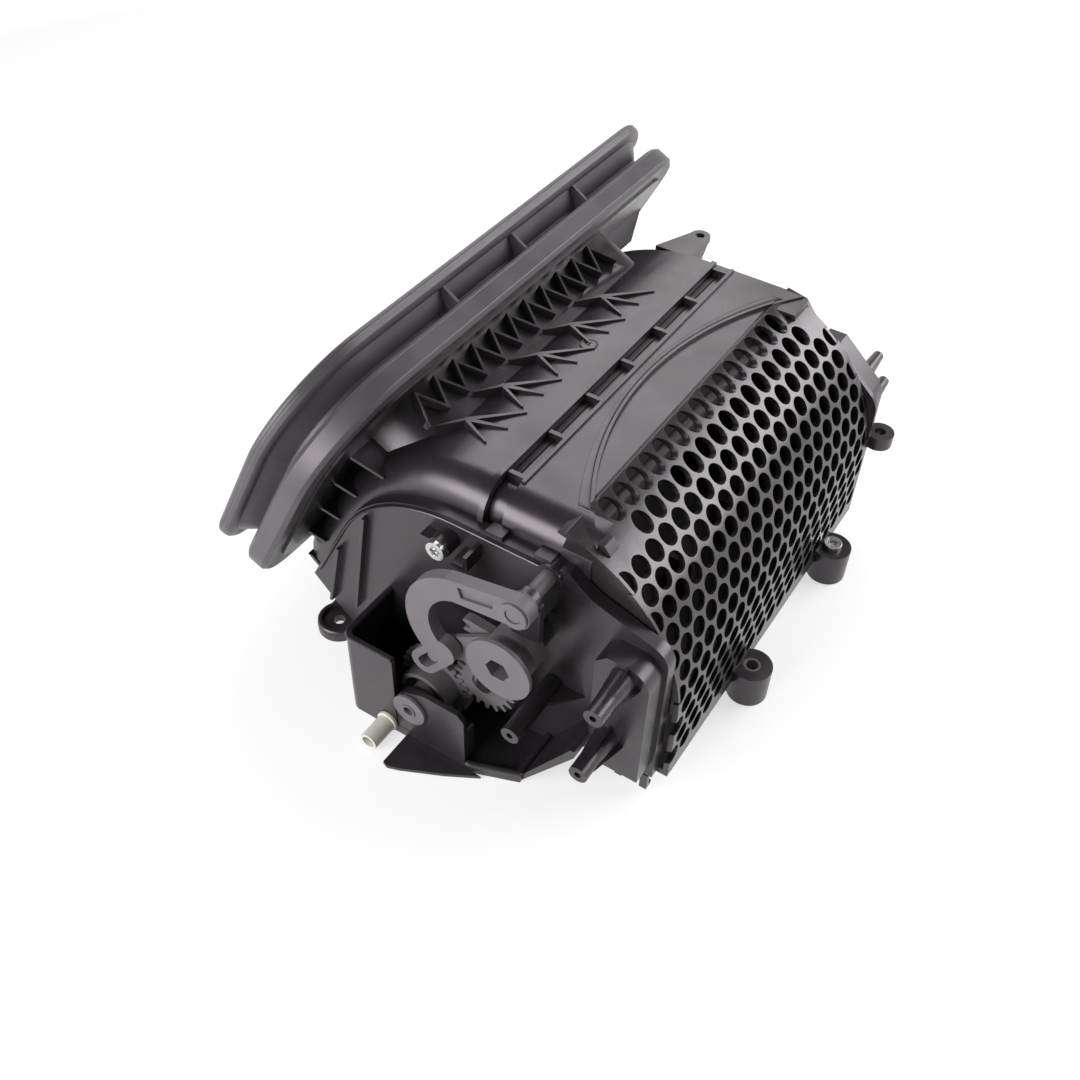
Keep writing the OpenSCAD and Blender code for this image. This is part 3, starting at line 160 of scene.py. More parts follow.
world = bpy.data.worlds.new("tent")
scene.world = world
tree, n = node_tree(world, {"path": "ShaderNodeLightPath", "at": "ShaderNodeTexCoord",
                            "axes": "ShaderNodeSeparateXYZ", "fade": "ShaderNodeMapRange",
                            "level": "ShaderNodeMath", "seen": "ShaderNodeBackground",
                            "fill": "ShaderNodeBackground", "mix": "ShaderNodeMixShader",
                            "out": "ShaderNodeOutputWorld"})
n["fade"].inputs["From Min"].default_value = WALL_TOP
n["fade"].inputs["From Max"].default_value = CEILING_FROM
n["fade"].inputs["To Min"].default_value = 1.0
n["fade"].inputs["To Max"].default_value = CEILING
n["level"].operation = "MAXIMUM"
n["seen"].inputs["Color"].default_value = (1, 1, 1, 1)
n["fill"].inputs["Color"].default_value = (1, 1, 1, 1)
n["fill"].inputs["Strength"].default_value = WORLD_FILL
wire(tree, (n["at"].outputs["Generated"], n["axes"].inputs[0]),
     (n["axes"].outputs["Z"], n["fade"].inputs["Value"]),
     (n["fade"].outputs["Result"], n["level"].inputs[0]),
     (n["path"].outputs["Is Camera Ray"], n["level"].inputs[1]),
     (n["level"].outputs[0], n["seen"].inputs["Strength"]),
     (seen_in_mirrors(tree, n["path"]), n["mix"].inputs[0]),
     (n["fill"].outputs[0], n["mix"].inputs[1]), (n["seen"].outputs[0], n["mix"].inputs[2]),
     (n["mix"].outputs[0], n["out"].inputs[0]))
print("world fill:", WORLD_FILL)

# %% Floor
FLOOR_REACH = 4.0
FLOOR_DROP = 0.0003                    # keeps the floor clear of the base's own face
FLOOR_WHITE = 0.46
FLOOR_LIFT = 0.64
NEAR, FAR = 0.50, 1.1                  # metres over which the floor turns to full white
UNDER_CENTRE = at(153, 22, 0)          # the patch of floor that the base covers
UNDER_HALF = Vector((0.100, 0.068, 1.0))
UNDER_FADE = 0.012

mesh = bpy.data.meshes.new("floor")
bm = bmesh.new()
bmesh.ops.create_grid(bm, x_segments=1, y_segments=1, size=FLOOR_REACH)
bmesh.ops.translate(bm, verts=bm.verts, vec=(0, 0, cad_box[0].z - FLOOR_DROP))
bm.to_mesh(mesh)
bm.free()
floor = bpy.data.objects.new("floor", mesh)
scene.collection.objects.link(floor)
print("floor at", round(1000 * cad_box[0].z, 2), "mm")

# %% [markdown]
# The floor's lift makes it white to the camera and to mirrors. Under the base it would shine up
# through the grille and the outlet, where the real floor lies in deep shade, so a soft rectangle on
# the floor's own coordinates takes the lift away there.

# %% The floor's white, without a glow under the base
floor_white = bpy.data.materials.new("floor_white")
tree, n = node_tree(floor_white, {
    "path": "ShaderNodeLightPath", "at": "ShaderNodeTexCoord", "from": "ShaderNodeVectorMath",
    "away": "ShaderNodeVectorMath", "past": "ShaderNodeVectorMath", "axes": "ShaderNodeSeparateXYZ",
    "far": "ShaderNodeMath", "open": "ShaderNodeMapRange", "reach": "ShaderNodeVectorMath",
    "white": "ShaderNodeMapRange", "most": "ShaderNodeMath", "matt": "ShaderNodeBsdfDiffuse",
    "lift": "ShaderNodeEmission", "add": "ShaderNodeAddShader", "level": "ShaderNodeMath",
    "out": "ShaderNodeOutputMaterial"})
n["from"].operation, n["away"].operation, n["past"].operation = "SUBTRACT", "ABSOLUTE", "SUBTRACT"
n["from"].inputs[1].default_value = UNDER_CENTRE
n["past"].inputs[1].default_value = UNDER_HALF
n["far"].operation = "MAXIMUM"
n["open"].inputs["From Min"].default_value = -UNDER_FADE
n["open"].inputs["From Max"].default_value = UNDER_FADE
n["open"].inputs["To Max"].default_value = FLOOR_LIFT
n["reach"].operation = "LENGTH"
n["white"].inputs["From Min"].default_value = NEAR
n["white"].inputs["From Max"].default_value = FAR
n["most"].operation = "MAXIMUM"
n["level"].operation = "MULTIPLY"
n["matt"].inputs["Color"].default_value = (FLOOR_WHITE, FLOOR_WHITE, FLOOR_WHITE, 1)
wire(tree, (n["at"].outputs["Object"], n["from"].inputs[0]),
     (n["from"].outputs[0], n["away"].inputs[0]),
     (n["away"].outputs[0], n["past"].inputs[0]), (n["past"].outputs[0], n["axes"].inputs[0]),
     (n["axes"].outputs["X"], n["far"].inputs[0]), (n["axes"].outputs["Y"], n["far"].inputs[1]),
     (n["far"].outputs[0], n["open"].inputs["Value"]),
     (n["at"].outputs["Object"], n["reach"].inputs[0]),
     (n["reach"].outputs["Value"], n["white"].inputs["Value"]),
     (n["open"].outputs["Result"], n["most"].inputs[0]),
     (n["white"].outputs["Result"], n["most"].inputs[1]),
     (n["most"].outputs[0], n["level"].inputs[0]),
     (seen_in_mirrors(tree, n["path"]), n["level"].inputs[1]),
     (n["level"].outputs[0], n["lift"].inputs["Strength"]),
     (n["matt"].outputs[0], n["add"].inputs[0]), (n["lift"].outputs[0], n["add"].inputs[1]),
     (n["add"].outputs[0], n["out"].inputs[0]))
mesh.materials.append(floor_white)
print("floor lift:", FLOOR_LIFT)

# %% Softboxes
SOFTBOXES = {  # place, width, height, watts
    "softbox_behind": ((0.62, 0.42, 0.80), 0.75, 0.6, 4.3),
    "softbox_left": ((-0.95, 0.30, 0.42), 0.8, 0.6, 11.0),
    "softbox_right": ((0.66, -0.62, 0.56), 0.85, 0.55, 8.5),
}
TARGET = Vector((0, 0, 0.08))
for name, (place, width, height, watts) in SOFTBOXES.items():
    lamp = bpy.data.lights.new(name, "AREA")
    lamp.shape = "RECTANGLE"
    lamp.size, lamp.size_y = width, height
    lamp.energy = watts
    box = bpy.data.objects.new(name, lamp)
    box.location = place
    box.rotation_euler = (TARGET - Vector(place)).to_track_quat("-Z", "Y").to_euler()
    scene.collection.objects.link(box)
    print(name, "radiance", round(watts / (math.pi * width * height), 2))

# %% [markdown]
# ## Moulded plastic
# The housing is black polypropylene from a steel mould. The mould was spark-eroded, so the surface
# has a fine grain, and the melt leaves slow bands of more and less gloss. Walls also sink a little
# as they cool, so reflections waver. One recipe makes every plastic here: a fine noise for the
# grain, a broad noise for the bands and a third for the sink. All are on Object coordinates, so
# they stay with the piece. The rubber of the seal takes the same recipe with more grain.

# %% The plastic recipe
GLOSS_TINT = (1.0, 0.925, 0.985, 1)     # the faint warm violet of carbon black
BAND_SCALE, BAND_DETAIL, BAND_DISTORTION = 34.0, 3.0, 0.6
WAVE_SCALE, WAVE_DETAIL = 55.0, 1.0
SINK_DEPTH, SINK_STRENGTH = 0.00035, 0.5
GRAIN_DETAIL, GRAIN_STRENGTH = 2.0, 0.6
GLOSS_FROM, GLOSS_TO = 0.3, 0.7         # the part of the noise that the gloss follows
TONE_FROM, TONE_TO = 0.25, 0.75
DARKER, LIGHTER = 0.86, 1.14            # shares of the colour in the bands


def moulded(name, colour, roughness, spread, grain_scale, grain_depth, specular):
    """Plastic with a grain whose depth is in metres, bands of gloss and wavering walls."""
    material = bpy.data.materials.new(name)
    tree, n = node_tree(material, {
        "at": "ShaderNodeTexCoord", "grain": "ShaderNodeTexNoise", "bands": "ShaderNodeTexNoise",
        "waves": "ShaderNodeTexNoise", "gloss": "ShaderNodeMapRange", "tone": "ShaderNodeValToRGB",
        "sunk": "ShaderNodeBump", "bump": "ShaderNodeBump", "skin": "ShaderNodeBsdfPrincipled",
        "out": "ShaderNodeOutputMaterial"})
    n["grain"].inputs["Scale"].default_value = grain_scale
    n["grain"].inputs["Detail"].default_value = GRAIN_DETAIL
    n["bands"].inputs["Scale"].default_value = BAND_SCALE
    n["bands"].inputs["Detail"].default_value = BAND_DETAIL
    n["bands"].inputs["Distortion"].default_value = BAND_DISTORTION
    n["waves"].inputs["Scale"].default_value = WAVE_SCALE
    n["waves"].inputs["Detail"].default_value = WAVE_DETAIL
    n["gloss"].inputs["From Min"].default_value = GLOSS_FROM
    n["gloss"].inputs["From Max"].default_value = GLOSS_TO
    n["gloss"].inputs["To Min"].default_value = roughness - spread
    n["gloss"].inputs["To Max"].default_value = roughness + spread
    dark, light = n["tone"].color_ramp.elements
    dark.position, light.position = TONE_FROM, TONE_TO
    dark.color = (*[DARKER * c for c in colour], 1)
    light.color = (*[LIGHTER * c for c in colour], 1)
    n["sunk"].inputs["Strength"].default_value = SINK_STRENGTH
    n["sunk"].inputs["Distance"].default_value = SINK_DEPTH
    n["bump"].inputs["Strength"].default_value = GRAIN_STRENGTH
    n["bump"].inputs["Distance"].default_value = grain_depth
    n["skin"].inputs["Specular IOR Level"].default_value = specular
    n["skin"].inputs["Specular Tint"].default_value = GLOSS_TINT
    wire(tree, (n["at"].outputs["Object"], n["grain"].inputs["Vector"]),
         (n["at"].outputs["Object"], n["bands"].inputs["Vector"]),
         (n["at"].outputs["Object"], n["waves"].inputs["Vector"]),
         (n["bands"].outputs["Fac"], n["gloss"].inputs["Value"]),
         (n["bands"].outputs["Fac"], n["tone"].inputs["Fac"]),
         (n["waves"].outputs["Fac"], n["sunk"].inputs["Height"]),
         (n["grain"].outputs["Fac"], n["bump"].inputs["Height"]),
         (n["sunk"].outputs["Normal"], n["bump"].inputs["Normal"]),
         (n["tone"].outputs["Color"], n["skin"].inputs["Base Color"]),
         (n["gloss"].outputs["Result"], n["skin"].inputs["Roughness"]),
         (n["bump"].outputs["Normal"], n["skin"].inputs["Normal"]),
         (n["skin"].outputs[0], n["out"].inputs[0]))
    return material


print("the plastic recipe is ready")

# %% The plastics, one for each slot
PLASTICS = {  # name, colour, roughness, its spread, grain scale, grain depth, specular level
    "shell_black": ("shell_black_plastic",
                    (0.0205, 0.0185, 0.0205), 0.31, 0.06, 2600, 0.00004, 0.7),
    "grille_black": ("grille_black_plastic",
                     (0.0205, 0.0185, 0.020), 0.28, 0.05, 3000, 0.00003, 0.8),
    "drive_grey": ("drive_satin_plastic",
                   (0.140, 0.130, 0.138), 0.48, 0.05, 2200, 0.00007, 0.6),
    "flap_black": ("flap_black_plastic",
                   (0.022, 0.021, 0.022), 0.40, 0.05, 2400, 0.00006, 0.5),
    "natural_white": ("natural_white_plastic",
                      (0.70, 0.68, 0.62), 0.42, 0.04, 2200, 0.00004, 0.5),
    "seal_rubber": ("seal_black_rubber",
                    (0.078, 0.072, 0.078), 0.42, 0.07, 1800, 0.00008, 0.65),
}
finish = {slot: moulded(*recipe) for slot, recipe in PLASTICS.items()}
print("plastics:", sorted(finish))

# %% [markdown]
# ## Zinc-plated steel
# Screws, sleeves and pins are turned or headed steel with a thin zinc plating. The plating is a
# little cloudy, so its roughness varies at the scale of a millimetre.

# %% The zinc recipe
CLOUD_SCALE, CLOUD_DETAIL = 700, 4
BRIGHT, CLOUDED = 0.18, 0.42            # roughness
ZINC_DARK, ZINC_LIGHT = (0.50, 0.50, 0.50, 1), (0.78, 0.78, 0.76, 1)
zinc = bpy.data.materials.new("zinc_plate")
tree, n = node_tree(zinc, {
    "at": "ShaderNodeTexCoord", "cloud": "ShaderNodeTexNoise", "gloss": "ShaderNodeMapRange",
    "tone": "ShaderNodeValToRGB", "skin": "ShaderNodeBsdfPrincipled",
    "out": "ShaderNodeOutputMaterial"})
n["cloud"].inputs["Scale"].default_value = CLOUD_SCALE
n["cloud"].inputs["Detail"].default_value = CLOUD_DETAIL
n["gloss"].inputs["To Min"].default_value = BRIGHT
n["gloss"].inputs["To Max"].default_value = CLOUDED
n["tone"].color_ramp.elements[0].color = ZINC_DARK
n["tone"].color_ramp.elements[1].color = ZINC_LIGHT
n["skin"].inputs["Metallic"].default_value = 1.0
wire(tree, (n["at"].outputs["Object"], n["cloud"].inputs["Vector"]),
     (n["cloud"].outputs["Fac"], n["gloss"].inputs["Value"]),
     (n["cloud"].outputs["Fac"], n["tone"].inputs["Fac"]),
     (n["tone"].outputs["Color"], n["skin"].inputs["Base Color"]),
     (n["gloss"].outputs["Result"], n["skin"].inputs["Roughness"]),
     (n["skin"].outputs[0], n["out"].inputs[0]))
finish["zinc_steel"] = zinc
for solid in nodes.values():
    for slot in solid.material_slots:
        slot.material = finish[slot.material.name]
print("finishes:", len(finish))

# %% [markdown]
# ## Moulded edges
# No moulded edge is sharp: the mould's own corners are rounded, and a round edge catches a thin
# line of light. The solids come in as loose triangles with their own normals. A small node group
# drops those normals and merges the corners, Decimate joins the flat triangles, Bevel rounds the
# edges, and a second node group shades smooth wherever two faces meet at a small angle. Weighted
# Normal then lets large faces set the shading, so that flat walls stay flat next to their rounded
# edges.

# %% Node groups that merge corners and shade by angle
def geometry_group(name):
    """An empty geometry node group with one geometry input and one geometry output."""
    group = bpy.data.node_groups.new(name, "GeometryNodeTree")
    group.interface.new_socket("Geometry", in_out="INPUT", socket_type="NodeSocketGeometry")
    group.interface.new_socket("Geometry", in_out="OUTPUT", socket_type="NodeSocketGeometry")
    return group, group.nodes.new("NodeGroupInput"), group.nodes.new("NodeGroupOutput")


MERGE_WITHIN = 2e-6
SMOOTH_BELOW = math.radians(28)

merge_corners, given, made = geometry_group("merge_corners")
drop = merge_corners.nodes.new("GeometryNodeRemoveAttribute")
drop.inputs["Name"].default_value = "custom_normal"
merge = merge_corners.nodes.new("GeometryNodeMergeByDistance")
merge.inputs["Distance"].default_value = MERGE_WITHIN
wire(merge_corners, (given.outputs[0], drop.inputs[0]), (drop.outputs[0], merge.inputs[0]),
     (merge.outputs[0], made.inputs[0]))

shade_by_angle, given, made = geometry_group("shade_by_angle")
angle = shade_by_angle.nodes.new("GeometryNodeInputMeshEdgeAngle")
small = shade_by_angle.nodes.new("FunctionNodeCompare")
small.operation = "LESS_THAN"
small.inputs[1].default_value = SMOOTH_BELOW
faces = shade_by_angle.nodes.new("GeometryNodeSetShadeSmooth")
edges = shade_by_angle.nodes.new("GeometryNodeSetShadeSmooth")
edges.domain = "EDGE"
wire(shade_by_angle, (given.outputs[0], faces.inputs[0]), (faces.outputs[0], edges.inputs[0]),
     (angle.outputs["Unsigned Angle"], small.inputs[0]),
     (small.outputs[0], edges.inputs["Shade Smooth"]), (edges.outputs[0], made.inputs[0]))
print("node groups:", merge_corners.name, shade_by_angle.name)

# %% Round the edges of every solid
EDGE_MM = {
    "roof_shell": 0.7, "top_cover": 0.7, "recirculation_grille": 0.6, "base_frame": 0.6,
    "drive_side_wall": 0.7, "far_side_wall": 0.6, "cowl_seal": 0.5, "bearing_bracket": 0.5,
    "bracket_bush": 0.4, "far_bushes": 0.4, "drive_disc": 0.4, "drive_sector": 0.25,
    "idler_gear": 0.2, "flap_gear": 0.25, "hook_lever": 0.5, "guide_sleeve": 0.4,
    "locating_tongue": 0.5, "cover_latch": 0.4, "parting_screw": 0.3, "lug_screw": 0.3,
    "lug_sleeves": 0.25, "idler_pin": 0.2, "lever_washer": 0.15, "fresh_flap": 0.4,
    "recirc_flap": 0.4, "fresh_flap_rim": 0.5, "recirc_flap_rim": 0.5,
    "fresh_flap_shaft": 0.4, "recirc_flap_shaft": 0.4}
FLAT_WITHIN = math.radians(0.5)
ROUND_ABOVE = math.radians(35)
EDGE_SEGMENTS = 2


def round_edges(solid, width_mm):
    """Merges, flattens, bevels and shades one solid with modifiers."""
    solid.modifiers.new("merge", "NODES").node_group = merge_corners
    flat = solid.modifiers.new("flat", "DECIMATE")
    flat.decimate_type = "DISSOLVE"
    flat.angle_limit = FLAT_WITHIN
    bevel = solid.modifiers.new("edge", "BEVEL")
    bevel.limit_method = "ANGLE"
    bevel.angle_limit = ROUND_ABOVE
    bevel.width = width_mm / 1000
    bevel.segments = EDGE_SEGMENTS
    bevel.profile = 0.5
    bevel.use_clamp_overlap = True
    solid.modifiers.new("shade", "NODES").node_group = shade_by_angle
    level = solid.modifiers.new("level", "WEIGHTED_NORMAL")
    level.mode = "FACE_AREA"
    level.keep_sharp = True


for name, width_mm in EDGE_MM.items():
    round_edges(nodes[name], width_mm)
print("rounded:", len(EDGE_MM))

# %% [markdown]
# ## Small mould details
# A moulding carries small raised lines that are too fine for the solids: rims that stiffen a wall's
# edge, rounded lips, a ridge in the seam's channel and the ring where the melt came in. A rim could
# be a bevelled curve, but an outline that is extruded and spun along its path makes clean quads and
# keeps its place in the mesh.

# %% Helpers for pieces
WELD = 1e-6     # metres within which corners become one


def piece(name, bm, slot, body="housing"):
    """Ends a bmesh as a piece that rides a body and takes a finish."""
    bmesh.ops.remove_doubles(bm, verts=bm.verts, dist=WELD)
    bmesh.ops.recalc_face_normals(bm, faces=bm.faces)
    mesh = bpy.data.meshes.new(name)
    bm.to_mesh(mesh)
    bm.free()
    mesh.materials.append(finish[slot])
    obj = bpy.data.objects.new(name, mesh)
    scene.collection.objects.link(obj)
    obj.modifiers.new("shade", "NODES").node_group = shade_by_angle
    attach(obj, body)
    print(name, len(mesh.polygons), "faces")
    return obj


def parts_of(geom, kind):
    """The vertices or the edges among an operator's results."""
    return [g for g in geom if isinstance(g, kind)]


print("helpers for pieces are ready")


# %% A helper that sweeps a rounded bead
RING_SEGMENTS = 12
STEP_DEGREES, FEWEST_STEPS = 4, 3     # how finely a turn is divided


def sweep(bm, start, heading, up, half_wide, half_high, moves, closed=False):
    """Moves are (run in mm, turn in degrees, radius in mm), in the plane across up."""
    place, heading, up = start.copy(), Vector(heading), Vector(up)
    across = up.cross(heading)
    axes = Matrix((up * half_high / 1000, across * half_wide / 1000, heading))
    frame_of_ring = axes.transposed().to_4x4()
    frame_of_ring.translation = place
    ring = bmesh.ops.create_circle(bm, cap_ends=not closed, segments=RING_SEGMENTS, radius=1,
                                   matrix=frame_of_ring)
    edges = list({e for v in ring["verts"] for e in v.link_edges})
    for run, turn, radius in moves:
        grown = bmesh.ops.extrude_edge_only(bm, edges=edges)["geom"]
        tips = parts_of(grown, bmesh.types.BMVert)
        bmesh.ops.translate(bm, verts=tips, vec=heading * run / 1000)
        edges = [e for e in parts_of(grown, bmesh.types.BMEdge)
                 if all(v in tips for v in e.verts)]
        place = place + heading * run / 1000
        if turn:
            side = 1 if turn > 0 else -1
            centre = place + up.cross(heading) * side * radius / 1000
            steps = max(FEWEST_STEPS, int(abs(turn) / STEP_DEGREES))
            last = bmesh.ops.spin(bm, geom=edges + tips, cent=centre, axis=up,
                                  angle=math.radians(turn), steps=steps)["geom_last"]
            edges = parts_of(last, bmesh.types.BMEdge)
            spun = Quaternion(up, math.radians(turn))
            place = centre + spun @ (place - centre)
            heading = spun @ heading
    if not closed:
        bmesh.ops.holes_fill(bm, edges=edges, sides=0)


print("a bead can be swept")

# %% The rim on the drive wall's shoulder
SHOULDER_Y, SHOULDER_Z = 46, 50     # the shoulder's centre
RIM_R, RIM_WIDE, RIM_DEEP = 76.4, 0.9, 2.0
RIM_X, RIM_FROM = 33, -12
RIM_TURN, RIM_TAIL = 63, 46
bm = bmesh.new()
sweep(bm, at(RIM_X, RIM_FROM, SHOULDER_Z + RIM_R), (0, 1, 0), (-1, 0, 0), RIM_WIDE, RIM_DEEP,
      [(SHOULDER_Y - RIM_FROM, RIM_TURN, RIM_R), (RIM_TAIL, 0, 0)])
piece("wall_rim", bm, "shell_black")

# %% [markdown]
# ## The rolled edge of the seal
# The seal's outer lip ends in a thick rolled edge, which presses against the cowl. It is one
# rounded section carried all the way round the mouth, whose plane leans back, so the same sweep
# makes it with four runs and four turns, and its ends meet.

# %% Sweep the rolled edge round the mouth
LEAN = math.radians(27)
OUTWARD = Vector((0, math.cos(LEAN), math.sin(LEAN)))
UPWARD = Vector((0, -math.sin(LEAN), math.cos(LEAN)))
MOUTH = (4, 330, -112, 36)      # left, right, low and top edge in the mouth's plane
MOUTH_Z = 85                    # height of the mouth plane's own zero
BIG_R, SMALL_R = 56, 30         # corner radii: the near top one is big
ROLL_WIDE, ROLL_DEEP, LIP = 4.6, 4.0, 152.1
SEAM = 1e-5                     # metres within which the first and the last ring meet
left, right, low, top = MOUTH
start = at(left + BIG_R, 0, MOUTH_Z) + (
    OUTWARD * (LIP - ROLL_DEEP) + UPWARD * (top - ROLL_WIDE)) / 1000
bm = bmesh.new()
sweep(bm, start, (1, 0, 0), OUTWARD, ROLL_WIDE, ROLL_DEEP, [
    (right - left - BIG_R - SMALL_R, 90, SMALL_R - ROLL_WIDE),
    (top - low - 2 * SMALL_R, 90, SMALL_R - ROLL_WIDE),
    (right - left - 2 * SMALL_R, 90, SMALL_R - ROLL_WIDE),
    (top - low - SMALL_R - BIG_R, 90, BIG_R - ROLL_WIDE)], closed=True)
bmesh.ops.remove_doubles(bm, verts=bm.verts, dist=SEAM)
piece("seal_roll", bm, "seal_rubber")

# %% [markdown]
# ## Lips and a ridge
# The tray under the drive has a rounded lip along its low front edge and round its tall corner, and
# a fine ridge runs along the seam's channel. A Bevel on the solid would round such an edge, but it
# can't thicken it, so each is a bead of its own.

# %% Rounded lips on the tray
TRAY_X = -3.75                  # middle of the tray's front wall
LOW_LIP, TALL_LIP = at(TRAY_X, 15.4, 5.9), at(TRAY_X, 58.6, 55.9)
bm = bmesh.new()
sweep(bm, LOW_LIP, (0, -1, 0), (0, 0, 1), 1.9, 1.5,
      [(1.65, 20.9, 3), (21.94, 69.1, 3), (25.5, 0, 0)])
sweep(bm, TALL_LIP, (0, 1, 0), (0, 0, 1), 1.8, 1.4, [(24.4, -90, 4.75), (31.5, 0, 0)])
piece("tray_lips", bm, "shell_black")

# %% The ridge in the seam's channel
RIDGE_FROM, RIDGE_LONG = at(57, 30.6, 141), 208
bm = bmesh.new()
sweep(bm, RIDGE_FROM, (1, 0, 0), (0, 0, 1), 0.5, 0.8, [(RIDGE_LONG, 0, 0)])
piece("channel_ridge", bm, "shell_black")


# %% [markdown]
# ## Turned details
# The gate mark is the round scar where the melt entered the mould: a shallow dish with a ring and
# a nub. It and the rim of the screw ear are bodies of revolution, so a few points of a profile are
# spun once round an axis.

# %% A helper that turns a profile, and two turned details
TURN_STEPS = 48


def turned(bm, centre, tilt, profile):
    """Spins a profile of (radius, height) in mm round a vertical axis, then tilts it about X."""
    corners = [bm.verts.new((r / 1000, 0, h / 1000)) for r, h in profile]
    edges = [bm.edges.new(pair) for pair in zip(corners, corners[1:])]
    bmesh.ops.spin(bm, geom=corners + edges, cent=(0, 0, 0), axis=(0, 0, 1), angle=math.tau,
                   steps=TURN_STEPS, use_merge=True)
    place = Matrix.Translation(centre) @ Matrix.Rotation(tilt, 4, "X")
    bmesh.ops.transform(bm, verts=bm.verts, matrix=place)


GATE_AT, GATE_TILT = at(162.7, 54.3, 143.6), math.radians(-5)
GATE_PROFILE = [(0, 0.75), (0.8, 0.7), (1.2, 0.3), (1.5, 0.22), (3.7, 0.2), (4.0, 0.55),
                (4.4, 0.6), (4.8, 0.35), (5.0, -0.4), (0, -0.4)]
bm = bmesh.new()
turned(bm, GATE_AT, GATE_TILT, GATE_PROFILE)
piece("gate_mark", bm, "shell_black")

EAR_AT = at(34, 128, 5)
EAR_PROFILE = [(9.3, -0.3), (9.3, 1.6), (9.8, 2.2), (11.2, 2.2), (11.8, 1.6), (11.8, -0.3),
               (9.3, -0.3)]
bm = bmesh.new()
turned(bm, EAR_AT, 0, EAR_PROFILE)
piece("ear_rim", bm, "shell_black")

# %% [markdown]
# ## The grille's barrel
# The perforated panel is moulded as a smooth barrel, and its holes are all cored in one direction,
# so they look round from the side and stretch into scallops where the barrel turns up to the cover.
# The solid has the same rows of holes on a folded panel. Here the panel is laid out flat first: one
# cell with a hole and one without, copied in rows like a honeycomb, merged, trimmed and given a
# thickness. Each corner is then carried along the coring direction onto the barrel.

# %% Lay out the honeycomb
PITCH, HOLE_R, PANEL_T = 12.2, 5.1, 3.0
ROW = PITCH * math.sin(math.radians(60))
ROWS, COLUMNS, FIRST_X = 13, 15, 67
CORING = math.radians(24)
TOP_ROW, PANEL_TOP, PANEL_LOW = 122.57, 128.1, -14.6     # across the coring direction
PANEL_X = (40.2, 265.8)
SIDES = 18                             # of a hole, a multiple of six
CELL_WELD = 0.02                       # millimetres


def cell(bm, holed):
    """One hexagonal cell, flat, in millimetres, with or without its hole."""
    hexagon = bmesh.ops.create_circle(bm, cap_ends=False, segments=6, radius=PITCH / math.sqrt(3))
    edges = list({e for v in hexagon["verts"] for e in v.link_edges})
    bmesh.ops.subdivide_edges(bm, edges=edges, cuts=SIDES // 6 - 1)
    rim = bm.edges[:]
    if holed:
        hole = bmesh.ops.create_circle(bm, cap_ends=False, segments=SIDES, radius=HOLE_R)
        rim += list({e for v in hole["verts"] for e in v.link_edges})
        bmesh.ops.bridge_loops(bm, edges=rim)
    else:
        face = bmesh.ops.contextual_create(bm, geom=rim)["faces"]
        bmesh.ops.poke(bm, faces=face)
    mesh = bpy.data.meshes.new("cell")
    bm.to_mesh(mesh)
    bm.free()
    return mesh


cells = {holed: cell(bmesh.new(), holed) for holed in (True, False)}
panel = bmesh.new()
for i in range(-2, ROWS + 2):
    odd = i % 2
    more = 0 if i < 2 else 2 - odd     # full rows run on into the ends of the panel
    for j in range(-4, COLUMNS + 3):
        holed = 0 <= i < ROWS and -more - odd * (i > 1) <= j < COLUMNS + more
        known = len(panel.verts)
        panel.from_mesh(cells[holed])
        panel.verts.ensure_lookup_table()
        bmesh.ops.translate(panel, verts=panel.verts[known:],
                            vec=(FIRST_X + (j + odd / 2) * PITCH, TOP_ROW - i * ROW, 0))
bmesh.ops.remove_doubles(panel, verts=panel.verts, dist=CELL_WELD)
for place, normal in (((PANEL_X[0], 0, 0), (-1, 0, 0)), ((PANEL_X[1], 0, 0), (1, 0, 0)),
                      ((0, PANEL_TOP, 0), (0, 1, 0)), ((0, PANEL_LOW, 0), (0, -1, 0))):
    everything = panel.verts[:] + panel.edges[:] + panel.faces[:]
    bmesh.ops.bisect_plane(panel, geom=everything, plane_co=place, plane_no=normal,
                           clear_outer=True)
back_face = bmesh.ops.extrude_face_region(panel, geom=panel.faces[:])["geom"]
bmesh.ops.translate(panel, verts=parts_of(back_face, bmesh.types.BMVert), vec=(0, 0, -PANEL_T))
for mesh in cells.values():
    bpy.data.meshes.remove(mesh)
print("panel:", len(panel.verts), "corners")

# %% Carry the panel onto the barrel
BARREL_R, BARREL_Y, BARREL_Z = 88, 14.78, 59.0
GRILLE_EDGE_MM = 0.5
barrel_w = BARREL_Z * math.cos(CORING) + BARREL_Y * math.sin(CORING)
for v in panel.verts:
    radius = BARREL_R + v.co.z
    rise = CORING + math.asin((v.co.y - barrel_w) / radius)
    if rise > 0:     # below the barrel's own height the panel hangs straight down
        y, z = BARREL_Y - radius * math.cos(rise), BARREL_Z + radius * math.sin(rise)
    else:
        y = BARREL_Y - radius
        z = (v.co.y - y * math.sin(CORING)) / math.cos(CORING)
    v.co = at(v.co.x, y, z)
grille = piece("grille_barrel", panel, "grille_black")
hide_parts("recirculation_grille")
grille.modifiers.remove(grille.modifiers["shade"])
round_edges(grille, GRILLE_EDGE_MM)

# %% [markdown]
# ## The barrel's ends
# A curved panel needs a web at each end, which holds its curve and closes it against the side wall.
# A web could be cut from a disc, but one short edge that is spun about the barrel's axis and given
# a thickness follows the panel by itself.

